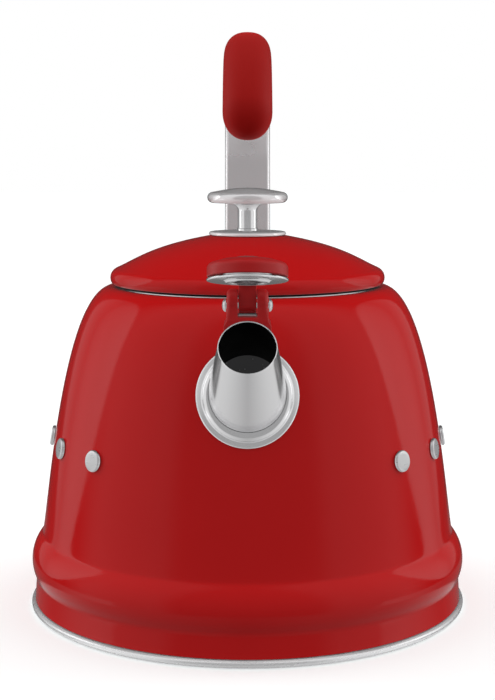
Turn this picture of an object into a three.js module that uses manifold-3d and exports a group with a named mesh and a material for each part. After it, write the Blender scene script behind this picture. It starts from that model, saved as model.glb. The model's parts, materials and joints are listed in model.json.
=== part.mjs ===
// Stovetop whistling kettle in millimetres, +Z up. It stands on z = 0 at the origin, the spout
// points along -Y and the handle rises from the back. X is the mirror direction.
import * as THREE from 'three';
import { mergeVertices } from 'three/addons/utils/BufferGeometryUtils.js';
import Module from 'manifold-3d';

const wasm = await Module();
wasm.setup();

// ---------------------------------------------------------------- driving sizes
const GAP = 0.3; // left between two pieces that touch
const RUNNING = 0.15; // radial clearance of the hinge pin in its holes
const BIG_FACETS = 36; // round the pot and the lid
const MID_FACETS = 28; // round the spout, the knob and the whistle
const SMALL_FACETS = 16; // round pins, screws and studs

// Base: a steel cap over an aluminium heat spreader, closed above by a steel pan.
const BASE_RADIUS = 100;
const BASE_RING_HEIGHT = 3.4;
const BASE_SHEET = 1;
const BASE_ROLL = 3; // width of the rolled edge round the flat underside
const SPREADER_THICKNESS = 3;
const PAN_SHEET = 1;
const PAN_FLANGE_HEIGHT = 8;

// Pot shell: a skirt, a rolled bead, a tall side and a shoulder that turns down into a neck.
const POT_WALL = 1.2;
const SKIRT_INSET = 1.7; // from the base ring to the foot of the shell
const BEAD_RADIUS = 16.85;
const BEAD_HEIGHT = 21.7; // of the bead's centre
const BEAD_INSET = 17.4; // of the bead's centre from the base radius
const BEAD_FROM = THREE.MathUtils.degToRad(-27.2);
const BEAD_TO = THREE.MathUtils.degToRad(44.8);
const POT_HEIGHT = 146; // to the edge of the shoulder under the lid
const MOUTH_EDGE_RADIUS = 60.2;
const SIDE_HANDLE = { lean: 2.5, rise: 8.5 }; // curve handle at the foot of the side
const SHOULDER_HANDLE = { reach: 23.6, rise: 3.6 }; // curve handle at the lid's edge
const NECK_INSET = 4.4; // of the neck from the edge of the mouth
const NECK_DEPTH = 10;
const NECK_DROP = 0.8; // from the shoulder's edge to the top of the neck

// Lid: a domed shell with a rolled rim, a skirt that drops into the neck and a black seal.
const LID_WALL = 1.2;
const LID_LIFT_OFF = 1.3; // from the pot's edge up to the underside of the lid's rim
const LID_RIM_RADIUS = 4.45;
const LID_RIM_RISE = 2.6; // from the underside of the rim up to the rim's centre
const LID_OVERHANG = 2.1; // of the rim beyond the edge of the pot's mouth
const LID_RIM_FROM = THREE.MathUtils.degToRad(-35.7);
const LID_RIM_TO = THREE.MathUtils.degToRad(65);
const LID_DOME_RISE = 15.2; // from the crease above the rim to the top of the dome
const LID_LIP = 3.1; // width of the rim's turned-in underside
const LID_CREASE_HANDLE = { reach: 8.6, rise: 3.65 }; // curve handles of the dome, both from the crease
const LID_CROWN_HANDLE = { reach: 16, rise: 10.3 };
const LID_SKIRT_CLEARANCE = 0.8;
const LID_SKIRT_SHEET = 1;
const LID_SKIRT_DEPTH = 9;
const SEAL_THICKNESS = 0.7;
const SEAL_WIDTH = 2.2;

// Knob: a base plate, a flared stem and a round disc, held by one screw through the lid.
const KNOB_PLATE_RADIUS = 17.6;
const KNOB_PLATE_THICKNESS = 1;
const KNOB_PLATE_SAG = 0.5; // of the plate's edge below its middle
const KNOB_STEM_RADIUS = 4.35;
const KNOB_STEM_HEIGHT = 12.3;
const KNOB_FLARE_RADIUS = 7.6;
const KNOB_COLLAR_RADIUS = 4.7;
const KNOB_COLLAR_HEIGHT = 1.2;
const KNOB_DISC_RADIUS = 18.2;
const KNOB_DISC_THICKNESS = 4.8;
const KNOB_DISC_CROWN = 1.9;
const KNOB_SCREW_RADIUS = 2;
const KNOB_WASHER_RADIUS = 7;

// Spout: a tapered tube through the shell, with a pressed rosette round its foot.
const SPOUT_DROP = 36; // from the shoulder's edge down to where the spout's axis leaves the wall
const SPOUT_AXIS_RISE = THREE.MathUtils.degToRad(31.5);
const SPOUT_LENGTH = 45.5;
const SPOUT_FOOT_RADIUS = 16;
const SPOUT_MOUTH_RADIUS = 11.3;
const SPOUT_MOUTH_TILT = THREE.MathUtils.degToRad(34.9);
const SPOUT_WALL = 0.9;
const ROSETTE_DROP = 1.7; // of its centre below the spout's axis
const ROSETTE_SHEET = 1.1;
const ROSETTE_BEAD_REACH = 1.6; // of the bead beyond the foot of the spout
const ROSETTE_BEAD_RISE = 1.9;
const ROSETTE_LAND = 3.5; // of the flat rim beyond the bead

// Whistle: a cap on a lever that swings on a pin between two ears of a bracket on the spout.
const PIVOT_BEHIND_MOUTH = 6.6; // pin to the plane of the mouth
const PIVOT_ABOVE_TUBE = 9.62; // pin to the tube, along the plane of the mouth
const WHISTLE_TRAVEL = THREE.MathUtils.degToRad(66.8);
const WHISTLE_SEAT_GAP = 0.4;
const PIN_RADIUS = 1.25;
const PIN_HEAD_RADIUS = 2.5;
const PIN_HEAD_HEIGHT = 1.5;
const EAR_RADIUS = 6.5;
const EAR_SPAN = 16.1;
const EAR_SLOT = 7.5;
const SADDLE_WIDTH = 18.4;
const SADDLE_DROP = 5.2; // from the pin to the top of the wider saddle
const SLOT_DROP = 3.9; // from the pin to the floor of the slot
const LEVER_WIDTH = 6.9;
const LEVER_HUB_RADIUS = 3.1;
const DETENT_SHEET = 0.3;
const BRACKET_SCREW_RADIUS = 1.2;
const BRACKET_SCREW_HEAD = 2.2;
const PLATE_OVERHANG = 4.14; // of the plate beyond the spout's mouth
const PLATE_SHEET = 0.9;
const PLATE_BEAD_INSET = 2.8; // of the bead from the inside of the mouth
const PLATE_BEAD_RISE = 0.8;
const PLATE_DISH_RADIUS = 3.75;
const WHISTLE_HOLE_RADIUS = 1.5;
const CAP_INSET = 0.24; // of the cap from the edge of the plate
const CAP_WALL = 1.8;
const CAP_VENT = 0.6; // steam gap between the plate and the cap
const CAP_HEIGHT = 6.9; // of the cap's rounded shoulder above the plate's face
const CAP_CORNER = 2.4;
const CUP_RADIUS = 9.2;
const CUP_DEPTH = 3;
const CUP_SHEET = 0.6;
const INLAY_RADIUS = 8.5;
const INLAY_EDGE = 1;
const INLAY_CROWN = 1.8;

// Handle: a flat arm from a bracket on the back of the pot, curving forward into a grip.
const ARM_WIDTH_FOOT = 24;
const ARM_WIDTH_TOP = 22.6;
const ARM_THICKNESS = 8;
const ARM_FOOT_DROP = 49; // of the arm's foot below the shoulder's edge
const ARM_STAND_OFF = 10.34; // from the wall at the arm's foot to the middle of the arm
const ARM_RISE = 51; // of the straight part above the shoulder's edge
const ARM_BEND_RADIUS = 50;
const GRIP_WIDTH = 21;
const GRIP_DEPTH = 23.6;
const GRIP_BACK_Y = 34;
const GRIP_CREST_Y = 0; // where the grip starts to bend down
const GRIP_BEND_RADIUS = 52;
const GRIP_BEND = THREE.MathUtils.degToRad(57.5);
const TANG_WIDTH = 11;
const TANG_THICKNESS = 5;
const TANG_LENGTH = 34;
const HANDLE_BRACKET_HEIGHT = 38;
const HANDLE_BRACKET_WIDTH = 19;
const HANDLE_SCREW_RADIUS = 2.5;
const HANDLE_SCREW_SPACING = 19;
const HANDLE_SCREW_GRIP = 4.5; // of the screw's end in the bracket
const GRIP_SCREW_RADIUS = 1.6;
const GRIP_SCREW_HEAD = 2.8;

// Studs: plain round discs in a row on both sides of the pot.
const STUD_RADIUS = 4.6;
const STUD_THICKNESS = 1.5;
const STUD_HEIGHT = 77;
const STUD_ANGLES = [47, 67, 87, 107];

// ---------------------------------------------------------------- materials
const FINISHES = {
  enamel: { color: 0xa51c20, roughness: 0.12, metalness: 0 },
  soft_touch: { color: 0x9a1c1e, roughness: 0.5, metalness: 0 },
  whistle_plastic: { color: 0xa31c20, roughness: 0.35, metalness: 0 },
  satin_steel: { color: 0xc9cacc, roughness: 0.32, metalness: 1 },
  polished_steel: { color: 0xd6d7d9, roughness: 0.12, metalness: 1 },
  aluminium: { color: 0xb8babd, roughness: 0.45, metalness: 1 },
  black_silicone: { color: 0x0c0c0d, roughness: 0.6, metalness: 0 },
};

// ---------------------------------------------------------------- solids
const point2 = (x, y) => new THREE.Vector2(x, y);
const point3 = (x, y, z) => new THREE.Vector3(x, y, z);

// Merges shared corners, drops empty triangles and turns the faces outward.
function closed(geometry) {
  const bare = geometry.clone();
  bare.deleteAttribute('normal');
  bare.deleteAttribute('uv');
  const merged = mergeVertices(bare, 1e-4);
  const position = merged.getAttribute('position');
  const triangles = [];
  let volume = 0;
  const corner = [point3(), point3(), point3()];
  for (let i = 0; i < merged.index.count; i += 3) {
    const ids = [0, 1, 2].map((k) => merged.index.getX(i + k));
    if (new Set(ids).size < 3) continue;
    ids.forEach((id, k) => corner[k].fromBufferAttribute(position, id));
    volume += corner[0].dot(corner[1].clone().cross(corner[2]));
    triangles.push(ids);
  }
  if (volume < 0) triangles.forEach((ids) => ids.reverse());
  merged.setIndex(triangles.flat());
  return merged;
}

function toManifold(geometry) {
  const solid = closed(geometry);
  const mesh = new wasm.Mesh({
    numProp: 3,
    vertProperties: new Float32Array(solid.getAttribute('position').array),
    triVerts: new Uint32Array(solid.index.array),
  });
  return new wasm.Manifold(mesh);
}

function fromManifold(solid) {
  const mesh = solid.getMesh();
  const geometry = new THREE.BufferGeometry();
  geometry.setAttribute('position', new THREE.BufferAttribute(mesh.vertProperties, 3));
  geometry.setIndex(new THREE.BufferAttribute(mesh.triVerts, 1));
  return geometry;
}

function subtract(geometry, ...cutters) {
  const solid = cutters.reduce((rest, cutter) => rest.subtract(toManifold(cutter)), toManifold(geometry));
  return fromManifold(solid);
}

function join(...geometries) {
  return fromManifold(geometries.map(toManifold).reduce((all, solid) => all.add(solid)));
}

// A section of [radius, height] points turned about Z. It closes on itself or starts and ends on the axis.
function turned(section, facets) {
  const points = section.map(([radius, height]) => point2(radius, height));
  const onAxis = points[0].x === 0 && points.at(-1).x === 0;
  if (!onAxis) points.push(points[0].clone());
  return closed(new THREE.LatheGeometry(points, facets).rotateX(Math.PI / 2));
}

// A rod along Z from one height to another.
function rod(radius, from, to, facets = SMALL_FACETS) {
  return turned([[0, from], [radius, from], [radius, to], [0, to]], facets);
}

// A side outline in (forward, up) points, extruded across X and centred on x = 0.
function acrossX(outline, width) {
  const shape = new THREE.Shape(outline.map(([forward, up]) => point2(forward, up)));
  const geometry = new THREE.ExtrudeGeometry(shape, { depth: width, bevelEnabled: false });
  const basis = new THREE.Matrix4().makeBasis(point3(0, -1, 0), point3(0, 0, 1), point3(-1, 0, 0));
  return geometry.translate(0, 0, -width / 2).applyMatrix4(basis);
}

function box(centre, size) {
  return new THREE.BoxGeometry(...size).translate(...centre);
}

// Joins a run of equal rings of points into one solid with a flat fan at each end.
function lofted(rings) {
  const count = rings[0].length;
  const positions = rings.flat().flatMap((p) => p.toArray());
  const index = [];
  for (let i = 0; i + 1 < rings.length; i += 1) {
    for (let j = 0; j < count; j += 1) {
      const a = i * count + j;
      const b = i * count + ((j + 1) % count);
      index.push(a, b, a + count, b, b + count, a + count);
    }
  }
  const addCap = (ring, first, flip) => {
    const middle = ring.reduce((sum, p) => sum.add(p), point3(0, 0, 0)).divideScalar(count);
    const centre = positions.length / 3;
    positions.push(...middle.toArray());
    for (let j = 0; j < count; j += 1) {
      const edge = [first + j, first + ((j + 1) % count)];
      index.push(centre, ...(flip ? edge : edge.reverse()));
    }
  };
  addCap(rings[0], 0, false);
  addCap(rings.at(-1), (rings.length - 1) * count, true);
  const geometry = new THREE.BufferGeometry();
  geometry.setAttribute('position', new THREE.Float32BufferAttribute(positions, 3));
  geometry.setIndex(index);
  return closed(geometry);
}

// Points on an arc as [radius, height] pairs.
function arc([centreRadius, centreHeight], radius, from, to, steps) {
  return Array.from({ length: steps + 1 }, (_, i) => {
    const angle = from + ((to - from) * i) / steps;
    return [centreRadius + radius * Math.cos(angle), centreHeight + radius * Math.sin(angle)];
  });
}

function cubic(start, handleA, handleB, end, steps) {
  const controls = [start, handleA, handleB, end].map((p) => point2(...p));
  const curve = new THREE.CubicBezierCurve(...controls);
  return curve.getPoints(steps).map((p) => [p.x, p.y]);
}

// The closed section of a sheet whose outer side follows the outline, with its thickness to the left.
function sheetSection(outline, thickness) {
  const inner = outline.map((p, i) => {
    const before = outline[Math.max(i - 1, 0)];
    const after = outline[Math.min(i + 1, outline.length - 1)];
    const along = point2(after[0] - before[0], after[1] - before[1]).normalize();
    return [p[0] - along.y * thickness, p[1] + along.x * thickness];
  });
  return [...outline, ...inner.reverse()];
}

// ---------------------------------------------------------------- pot outline
const beadCentre = [BASE_RADIUS - BEAD_INSET, BEAD_HEIGHT];
const bead = arc(beadCentre, BEAD_RADIUS, BEAD_FROM, BEAD_TO, 4);
const beadTop = bead.at(-1);
const shellFootZ = BASE_RING_HEIGHT + GAP;
const mouthEdge = [MOUTH_EDGE_RADIUS, POT_HEIGHT];
const side = cubic(
  beadTop,
  [beadTop[0] - SIDE_HANDLE.lean, beadTop[1] + SIDE_HANDLE.rise],
  [mouthEdge[0] + SHOULDER_HANDLE.reach, mouthEdge[1] + SHOULDER_HANDLE.rise],
  mouthEdge,
  9,
);
const shellFoot = [BASE_RADIUS - SKIRT_INSET, shellFootZ];
const neckRadius = MOUTH_EDGE_RADIUS - NECK_INSET;
const neckTop = [neckRadius, POT_HEIGHT - NECK_DROP];
const potOutline = [shellFoot, ...bead, ...side.slice(1), neckTop, [neckRadius, neckTop[1] - NECK_DEPTH]];

// Outer radius of the pot's side at a height, between the bead and the shoulder.
function potRadiusAt(height) {
  const i = side.findIndex((p) => p[1] > height);
  const [low, high] = [side[i - 1], side[i]];
  const t = (height - low[1]) / (high[1] - low[1]);
  return low[0] + (high[0] - low[0]) * t;
}

// Elevation of the outward normal of the pot's side.
function potSlopeAt(height) {
  return Math.atan2(potRadiusAt(height - 4) - potRadiusAt(height + 4), 8);
}

// The solid room inside (negative offset) or the pot's envelope (positive offset) up to the shoulder.
function potEnvelope(offset) {
  const grown = potOutline.slice(1, -2).map(([radius, height]) => [radius + offset, height]);
  return turned([[0, grown[0][1]], ...grown, [0, grown.at(-1)[1]]], BIG_FACETS);
}

// ---------------------------------------------------------------- spout frame
const spoutFootUp = POT_HEIGHT - SPOUT_DROP;
const spoutFootForward = potRadiusAt(spoutFootUp);
const spoutMouth = {
  forward: spoutFootForward + SPOUT_LENGTH * Math.cos(SPOUT_AXIS_RISE),
  up: spoutFootUp + SPOUT_LENGTH * Math.sin(SPOUT_AXIS_RISE),
};

function spoutRadiusAt(along) {
  return SPOUT_FOOT_RADIUS + ((SPOUT_MOUTH_RADIUS - SPOUT_FOOT_RADIUS) * along) / SPOUT_LENGTH;
}

// A ring of the spout at a distance along its axis from the foot; the rings lean up towards the mouth.
function spoutRing(along, extraRadius) {
  const share = along / SPOUT_LENGTH;
  const radius = spoutRadiusAt(along) + extraRadius;
  const tilt = SPOUT_AXIS_RISE + (SPOUT_MOUTH_TILT - SPOUT_AXIS_RISE) * Math.max(share, 0);
  const forward = spoutFootForward + along * Math.cos(SPOUT_AXIS_RISE);
  const up = spoutFootUp + along * Math.sin(SPOUT_AXIS_RISE);
  return Array.from({ length: MID_FACETS }, (_, i) => {
    const angle = (2 * Math.PI * i) / MID_FACETS;
    const across = radius * Math.cos(angle);
    const lift = radius * Math.sin(angle);
    return point3(across, -(forward - lift * Math.sin(tilt)), up + lift * Math.cos(tilt));
  });
}

// Height of the top of the spout's tube at a forward distance.
function spoutTopAt(forward) {
  const top = (ring) => ring.reduce((best, p) => (p.z > best.z ? p : best));
  const [foot, mouth] = [top(spoutRing(0, 0)), top(spoutRing(SPOUT_LENGTH, 0))];
  return foot.z + ((mouth.z - foot.z) * (forward + foot.y)) / (foot.y - mouth.y);
}

const SPOUT_ROOT = -14; // start of the tube behind its foot, inside the pot
const spoutPlug = lofted([spoutRing(SPOUT_ROOT, GAP), spoutRing(SPOUT_LENGTH, GAP)]);

// ---------------------------------------------------------------- whistle frame
// The hinge pin sits above and behind the mouth, measured square to the plane of the mouth.
const pivotAboveAxis = spoutRadiusAt(SPOUT_LENGTH - PIVOT_BEHIND_MOUTH) + PIVOT_ABOVE_TUBE;
const pivot = {
  forward: spoutMouth.forward - PIVOT_BEHIND_MOUTH * Math.cos(SPOUT_MOUTH_TILT)
    - pivotAboveAxis * Math.sin(SPOUT_MOUTH_TILT),
  up: spoutMouth.up - PIVOT_BEHIND_MOUTH * Math.sin(SPOUT_MOUTH_TILT)
    + pivotAboveAxis * Math.cos(SPOUT_MOUTH_TILT),
};
const pinHole = rod(PIN_RADIUS + RUNNING, -EAR_SPAN, EAR_SPAN).rotateY(Math.PI / 2);

// ---------------------------------------------------------------- assembly
const kettle = new THREE.Group();

function piece(name, geometry, finish, parent = kettle) {
  const mesh = new THREE.Mesh(geometry, new THREE.MeshStandardMaterial(FINISHES[finish]));
  mesh.name = name;
  parent.add(mesh);
  return mesh;
}

function addBase() {
  const lip = shellFoot[0] - POT_WALL - BASE_ROLL / 2;
  const rollCentre = [BASE_RADIUS - BASE_ROLL / 2, BASE_ROLL / 2 + 0.4];
  const roll = arc(rollCentre, BASE_ROLL / 2, -Math.PI / 3, Math.PI / 3, 4);
  piece('base_cap', turned([
    [0, 0],
    [BASE_RADIUS - BASE_ROLL, 0],
    ...roll,
    [shellFoot[0], BASE_RING_HEIGHT],
    [lip, BASE_RING_HEIGHT],
    [lip, BASE_SHEET],
    [0, BASE_SHEET],
  ], BIG_FACETS), 'satin_steel');

  const spreaderFrom = BASE_SHEET + GAP;
  const spreaderTo = spreaderFrom + SPREADER_THICKNESS;
  piece('heat_spreader', rod(lip - GAP, spreaderFrom, spreaderTo, BIG_FACETS), 'aluminium');

  const panRadius = bead[0][0] - POT_WALL - GAP;
  const panFrom = spreaderTo + GAP;
  piece('base_pan', turned(sheetSection([
    [0, panFrom],
    [panRadius - 2, panFrom],
    [panRadius, panFrom + 2],
    [panRadius, panFrom + PAN_FLANGE_HEIGHT],
  ], PAN_SHEET), BIG_FACETS), 'satin_steel');
}

function addPot() {
  piece('pot_shell', subtract(turned(sheetSection(potOutline, POT_WALL), BIG_FACETS), spoutPlug), 'enamel');
}

// The rosette is a flat disc section wrapped onto the wall: each point keeps its distance from it.
function addSpout() {
  const tube = subtract(
    lofted([SPOUT_ROOT, 0, SPOUT_LENGTH / 2, SPOUT_LENGTH].map((along) => spoutRing(along, 0))),
    lofted([spoutRing(SPOUT_ROOT - 1, -SPOUT_WALL), spoutRing(SPOUT_LENGTH + 1, -SPOUT_WALL)]),
    potEnvelope(-POT_WALL),
  );
  piece('spout_tube', tube, 'polished_steel');

  const rosetteUp = spoutFootUp - ROSETTE_DROP;
  const beadRadius = SPOUT_FOOT_RADIUS + ROSETTE_BEAD_REACH;
  const rosetteRadius = beadRadius + ROSETTE_LAND;
  const slope = potSlopeAt(rosetteUp);
  const onWall = (radius, rise) => Array.from({ length: MID_FACETS }, (_, i) => {
    const angle = (2 * Math.PI * i) / MID_FACETS;
    const across = radius * Math.cos(angle);
    const up = rosetteUp + radius * Math.sin(angle) * Math.cos(slope);
    const forward = Math.sqrt(potRadiusAt(up) ** 2 - across ** 2);
    return point3(across, -(forward + rise * Math.cos(slope)), up + rise * Math.sin(slope));
  });
  const top = ROSETTE_SHEET + GAP;
  const beadHalf = 1;
  const rosette = lofted([
    onWall(SPOUT_MOUTH_RADIUS, GAP),
    onWall(rosetteRadius, GAP),
    onWall(rosetteRadius, top),
    onWall(beadRadius + beadHalf, top),
    onWall(beadRadius, top + ROSETTE_BEAD_RISE),
    onWall(beadRadius - beadHalf, top + ROSETTE_BEAD_RISE),
    onWall(SPOUT_MOUTH_RADIUS, top + ROSETTE_BEAD_RISE),
  ]);
  piece('spout_rosette', subtract(rosette, spoutPlug), 'polished_steel');
}

function addWhistleBracket() {
  const slotFloor = pivot.up - SLOT_DROP;
  const spoutAxisUp = slotFloor - 2 * SPOUT_MOUTH_RADIUS;
  const ear = [
    ...arc([pivot.forward, pivot.up], EAR_RADIUS, 0, Math.PI, 8),
    [pivot.forward - EAR_RADIUS - 2, pivot.up - SADDLE_DROP],
    [pivot.forward - EAR_RADIUS - 2, spoutAxisUp],
    [pivot.forward + EAR_RADIUS + 1, spoutAxisUp],
    [pivot.forward + EAR_RADIUS + 1, pivot.up - SADDLE_DROP],
  ];
  const saddleTop = pivot.up - SADDLE_DROP;
  const saddle = [
    [pivot.forward + EAR_RADIUS + 1, saddleTop],
    [pivot.forward - EAR_RADIUS - 4, saddleTop],
    [pivot.forward - EAR_RADIUS - 4, spoutAxisUp],
    [pivot.forward + EAR_RADIUS + 1, spoutAxisUp],
  ];
  const slotHeight = EAR_RADIUS + SLOT_DROP + 1;
  const slot = box([0, -pivot.forward, slotFloor + slotHeight / 2], [EAR_SLOT, 4 * EAR_RADIUS, slotHeight]);
  const screwBack = pivot.forward - EAR_RADIUS + 0.2;
  const screwHole = rod(BRACKET_SCREW_RADIUS + GAP, spoutAxisUp, slotFloor + 1).translate(0, -screwBack, 0);
  const hole = pinHole.clone().translate(0, -pivot.forward, pivot.up);
  const block = join(acrossX(ear, EAR_SPAN), acrossX(saddle, SADDLE_WIDTH));
  piece('whistle_bracket', subtract(block, slot, hole, screwHole, spoutPlug), 'whistle_plastic');

  const spoutTopAtScrew = spoutTopAt(screwBack - BRACKET_SCREW_RADIUS) + 2 * GAP;
  const screw = turned([
    [0, spoutTopAtScrew + 1],
    [BRACKET_SCREW_RADIUS, spoutTopAtScrew + 1],
    [BRACKET_SCREW_RADIUS, slotFloor + GAP],
    [BRACKET_SCREW_HEAD, slotFloor + GAP],
    [BRACKET_SCREW_HEAD, slotFloor + GAP + 0.8],
    [BRACKET_SCREW_HEAD - 0.6, slotFloor + GAP + 1.2],
    [0, slotFloor + GAP + 1.2],
  ], SMALL_FACETS);
  piece('bracket_screw', screw, 'satin_steel').position.set(0, -screwBack, 0);

  const leafCentre = slotFloor + GAP + DETENT_SHEET / 2;
  const leaf = new THREE.BoxGeometry(EAR_SLOT - 2 * GAP, 2 * LEVER_HUB_RADIUS, DETENT_SHEET);
  piece('detent_leaf', leaf, 'satin_steel').position.set(0, -pivot.forward, leafCentre);
}

function addHingePin() {
  const reach = EAR_SPAN / 2 + GAP;
  const crown = (sign) => [
    [PIN_HEAD_RADIUS, sign * reach],
    [PIN_HEAD_RADIUS - 0.4, sign * (reach + PIN_HEAD_HEIGHT * 0.7)],
    [PIN_RADIUS, sign * (reach + PIN_HEAD_HEIGHT)],
    [0, sign * (reach + PIN_HEAD_HEIGHT)],
  ];
  const section = [
    ...crown(-1).reverse(),
    [PIN_RADIUS, -reach],
    [PIN_RADIUS, reach],
    ...crown(1),
  ];
  const pin = piece('hinge_pin', turned(section, SMALL_FACETS), 'satin_steel');
  pin.position.set(0, -pivot.forward, pivot.up);
  pin.rotation.y = Math.PI / 2;
}

const plateRadius = SPOUT_MOUTH_RADIUS + PLATE_OVERHANG;
const capRadius = plateRadius - CAP_INSET;

// The whistle is drawn closed on the mouth: local Z runs out of the mouth and the pin is the origin.
function addWhistle() {
  const whistle = new THREE.Group();
  whistle.position.set(0, -pivot.forward, pivot.up);
  whistle.rotation.x = Math.PI / 2 - SPOUT_MOUTH_TILT - WHISTLE_TRAVEL;
  kettle.add(whistle);
  const seat = new THREE.Group();
  seat.position.set(0, -pivotAboveAxis, PIVOT_BEHIND_MOUTH + WHISTLE_SEAT_GAP);
  whistle.add(seat);

  const beadRadius = SPOUT_MOUTH_RADIUS - SPOUT_WALL - PLATE_BEAD_INSET;
  const bead = [-1, -0.6, 0.6, 1.3].map((offset) => beadRadius + offset);
  const dish = PLATE_SHEET / 2;
  const edge = PLATE_SHEET / 2;
  piece('whistle_plate', turned([
    [WHISTLE_HOLE_RADIUS, dish],
    [PLATE_DISH_RADIUS, dish],
    [bead[0], -PLATE_BEAD_RISE * 0.4],
    [bead[1], -PLATE_BEAD_RISE],
    [bead[2], -PLATE_BEAD_RISE],
    [bead[3], 0],
    [plateRadius - edge, 0],
    [plateRadius, edge],
    [plateRadius - edge, PLATE_SHEET],
    [PLATE_DISH_RADIUS + 1, PLATE_SHEET],
    [PLATE_DISH_RADIUS, PLATE_SHEET + dish],
    [WHISTLE_HOLE_RADIUS, PLATE_SHEET + dish],
  ], MID_FACETS), 'polished_steel', seat);

  const cupFoot = PLATE_SHEET + GAP;
  const cupTop = cupFoot + CUP_DEPTH;
  piece('whistle_cup', turned([
    [CUP_RADIUS - CUP_SHEET, cupFoot],
    [CUP_RADIUS + 1.2, cupFoot],
    [CUP_RADIUS + 1.2, cupFoot + CUP_SHEET],
    [CUP_RADIUS, cupFoot + CUP_SHEET],
    [CUP_RADIUS, cupTop],
    [WHISTLE_HOLE_RADIUS, cupTop],
    [WHISTLE_HOLE_RADIUS, cupTop - CUP_SHEET],
    [CUP_RADIUS - CUP_SHEET, cupTop - CUP_SHEET],
  ], MID_FACETS), 'satin_steel', seat);

  const capFoot = PLATE_SHEET + CAP_VENT;
  const capRoom = capRadius - CAP_WALL;
  const ceiling = cupTop + GAP;
  const pocketRadius = INLAY_RADIUS + GAP;
  const pocketFloor = CAP_HEIGHT;
  const pocketEdge = pocketFloor + GAP + INLAY_EDGE;
  const shoulder = arc([capRadius - CAP_CORNER, CAP_HEIGHT - CAP_CORNER], CAP_CORNER, 0, Math.PI * 0.46, 4);
  const cap = turned([
    [0, ceiling],
    [capRoom - 1, ceiling],
    [capRoom, ceiling - 1],
    [capRoom, capFoot],
    [capRadius, capFoot],
    ...shoulder,
    [pocketRadius + 0.6, pocketEdge - 0.2],
    [pocketRadius, pocketEdge - 0.2],
    [pocketRadius, pocketFloor],
    [0, pocketFloor],
  ], MID_FACETS);
  const inCapFrame = [0, -pivotAboveAxis, seat.position.z];
  const wallBack = -pivotAboveAxis + capRoom + 0.4;
  const leverTop = seat.position.z + CAP_HEIGHT - CAP_CORNER / 2;
  const leverUnder = seat.position.z + capFoot + GAP;
  const lever = acrossX([
    ...arc([0, 0], LEVER_HUB_RADIUS, Math.PI, 2 * Math.PI, 6),
    [LEVER_HUB_RADIUS, leverUnder],
    [-wallBack, leverUnder],
    [-wallBack, leverTop],
    [-LEVER_HUB_RADIUS + 2.2, leverTop],
    [-LEVER_HUB_RADIUS, leverTop - 2.2],
  ], LEVER_WIDTH);
  const body = subtract(join(cap.translate(...inCapFrame), lever), pinHole);
  piece('whistle_cap', body, 'whistle_plastic', whistle);

  piece('cap_inlay', turned([
    [0, pocketFloor + GAP],
    [INLAY_RADIUS, pocketFloor + GAP],
    [INLAY_RADIUS, pocketEdge],
    [INLAY_RADIUS * 0.72, pocketEdge + INLAY_CROWN * 0.5],
    [INLAY_RADIUS * 0.38, pocketEdge + INLAY_CROWN * 0.87],
    [0, pocketEdge + INLAY_CROWN],
  ], MID_FACETS), 'polished_steel', seat);
}

// ---------------------------------------------------------------- lid
const lidUnder = POT_HEIGHT + LID_LIFT_OFF;
const lidRimCentre = [MOUTH_EDGE_RADIUS + LID_OVERHANG - LID_RIM_RADIUS, lidUnder + LID_RIM_RISE];
const lidRim = arc(lidRimCentre, LID_RIM_RADIUS, LID_RIM_FROM, LID_RIM_TO, 4);
const lidCrease = lidRim.at(-1);
const lidTop = lidCrease[1] + LID_DOME_RISE;
const knobScrewHole = KNOB_SCREW_RADIUS + GAP;
const lidFlatRadius = KNOB_PLATE_RADIUS - 3.6; // of the flat under the knob
const lidDome = cubic(
  lidCrease,
  [lidCrease[0] - LID_CREASE_HANDLE.reach, lidCrease[1] + LID_CREASE_HANDLE.rise],
  [lidCrease[0] - LID_CROWN_HANDLE.reach, lidCrease[1] + LID_CROWN_HANDLE.rise],
  [lidFlatRadius, lidTop],
  5,
);

function addLid() {
  const lip = [lidRim[0][0] - LID_LIP, lidUnder];
  const rimFoot = [lidRim[0][0] - 0.8, lidUnder];
  const outline = [lip, rimFoot, ...lidRim, ...lidDome.slice(1), [knobScrewHole, lidTop]];
  piece('lid_shell', turned(sheetSection(outline, LID_WALL), BIG_FACETS), 'enamel');

  const skirtRadius = neckRadius - LID_SKIRT_CLEARANCE;
  const flangeFrom = lidUnder + LID_WALL + GAP;
  const flangeTo = flangeFrom + LID_SKIRT_SHEET;
  const skirtInner = skirtRadius - LID_SKIRT_SHEET;
  piece('lid_skirt', turned([
    [skirtInner, neckTop[1] - LID_SKIRT_DEPTH],
    [skirtRadius, neckTop[1] - LID_SKIRT_DEPTH],
    [skirtRadius, flangeFrom],
    [lidRimCentre[0] + 1, flangeFrom],
    [lidRimCentre[0] + 1, flangeTo],
    [skirtInner, flangeTo],
  ], BIG_FACETS), 'satin_steel');

  const sealTo = lidUnder - GAP;
  const sealFrom = sealTo - SEAL_THICKNESS;
  const sealOuter = MOUTH_EDGE_RADIUS - GAP;
  piece('lid_seal', turned([
    [sealOuter - SEAL_WIDTH, sealFrom],
    [sealOuter, sealFrom],
    [sealOuter, sealTo],
    [sealOuter - SEAL_WIDTH, sealTo],
  ], BIG_FACETS), 'black_silicone');
}

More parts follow.
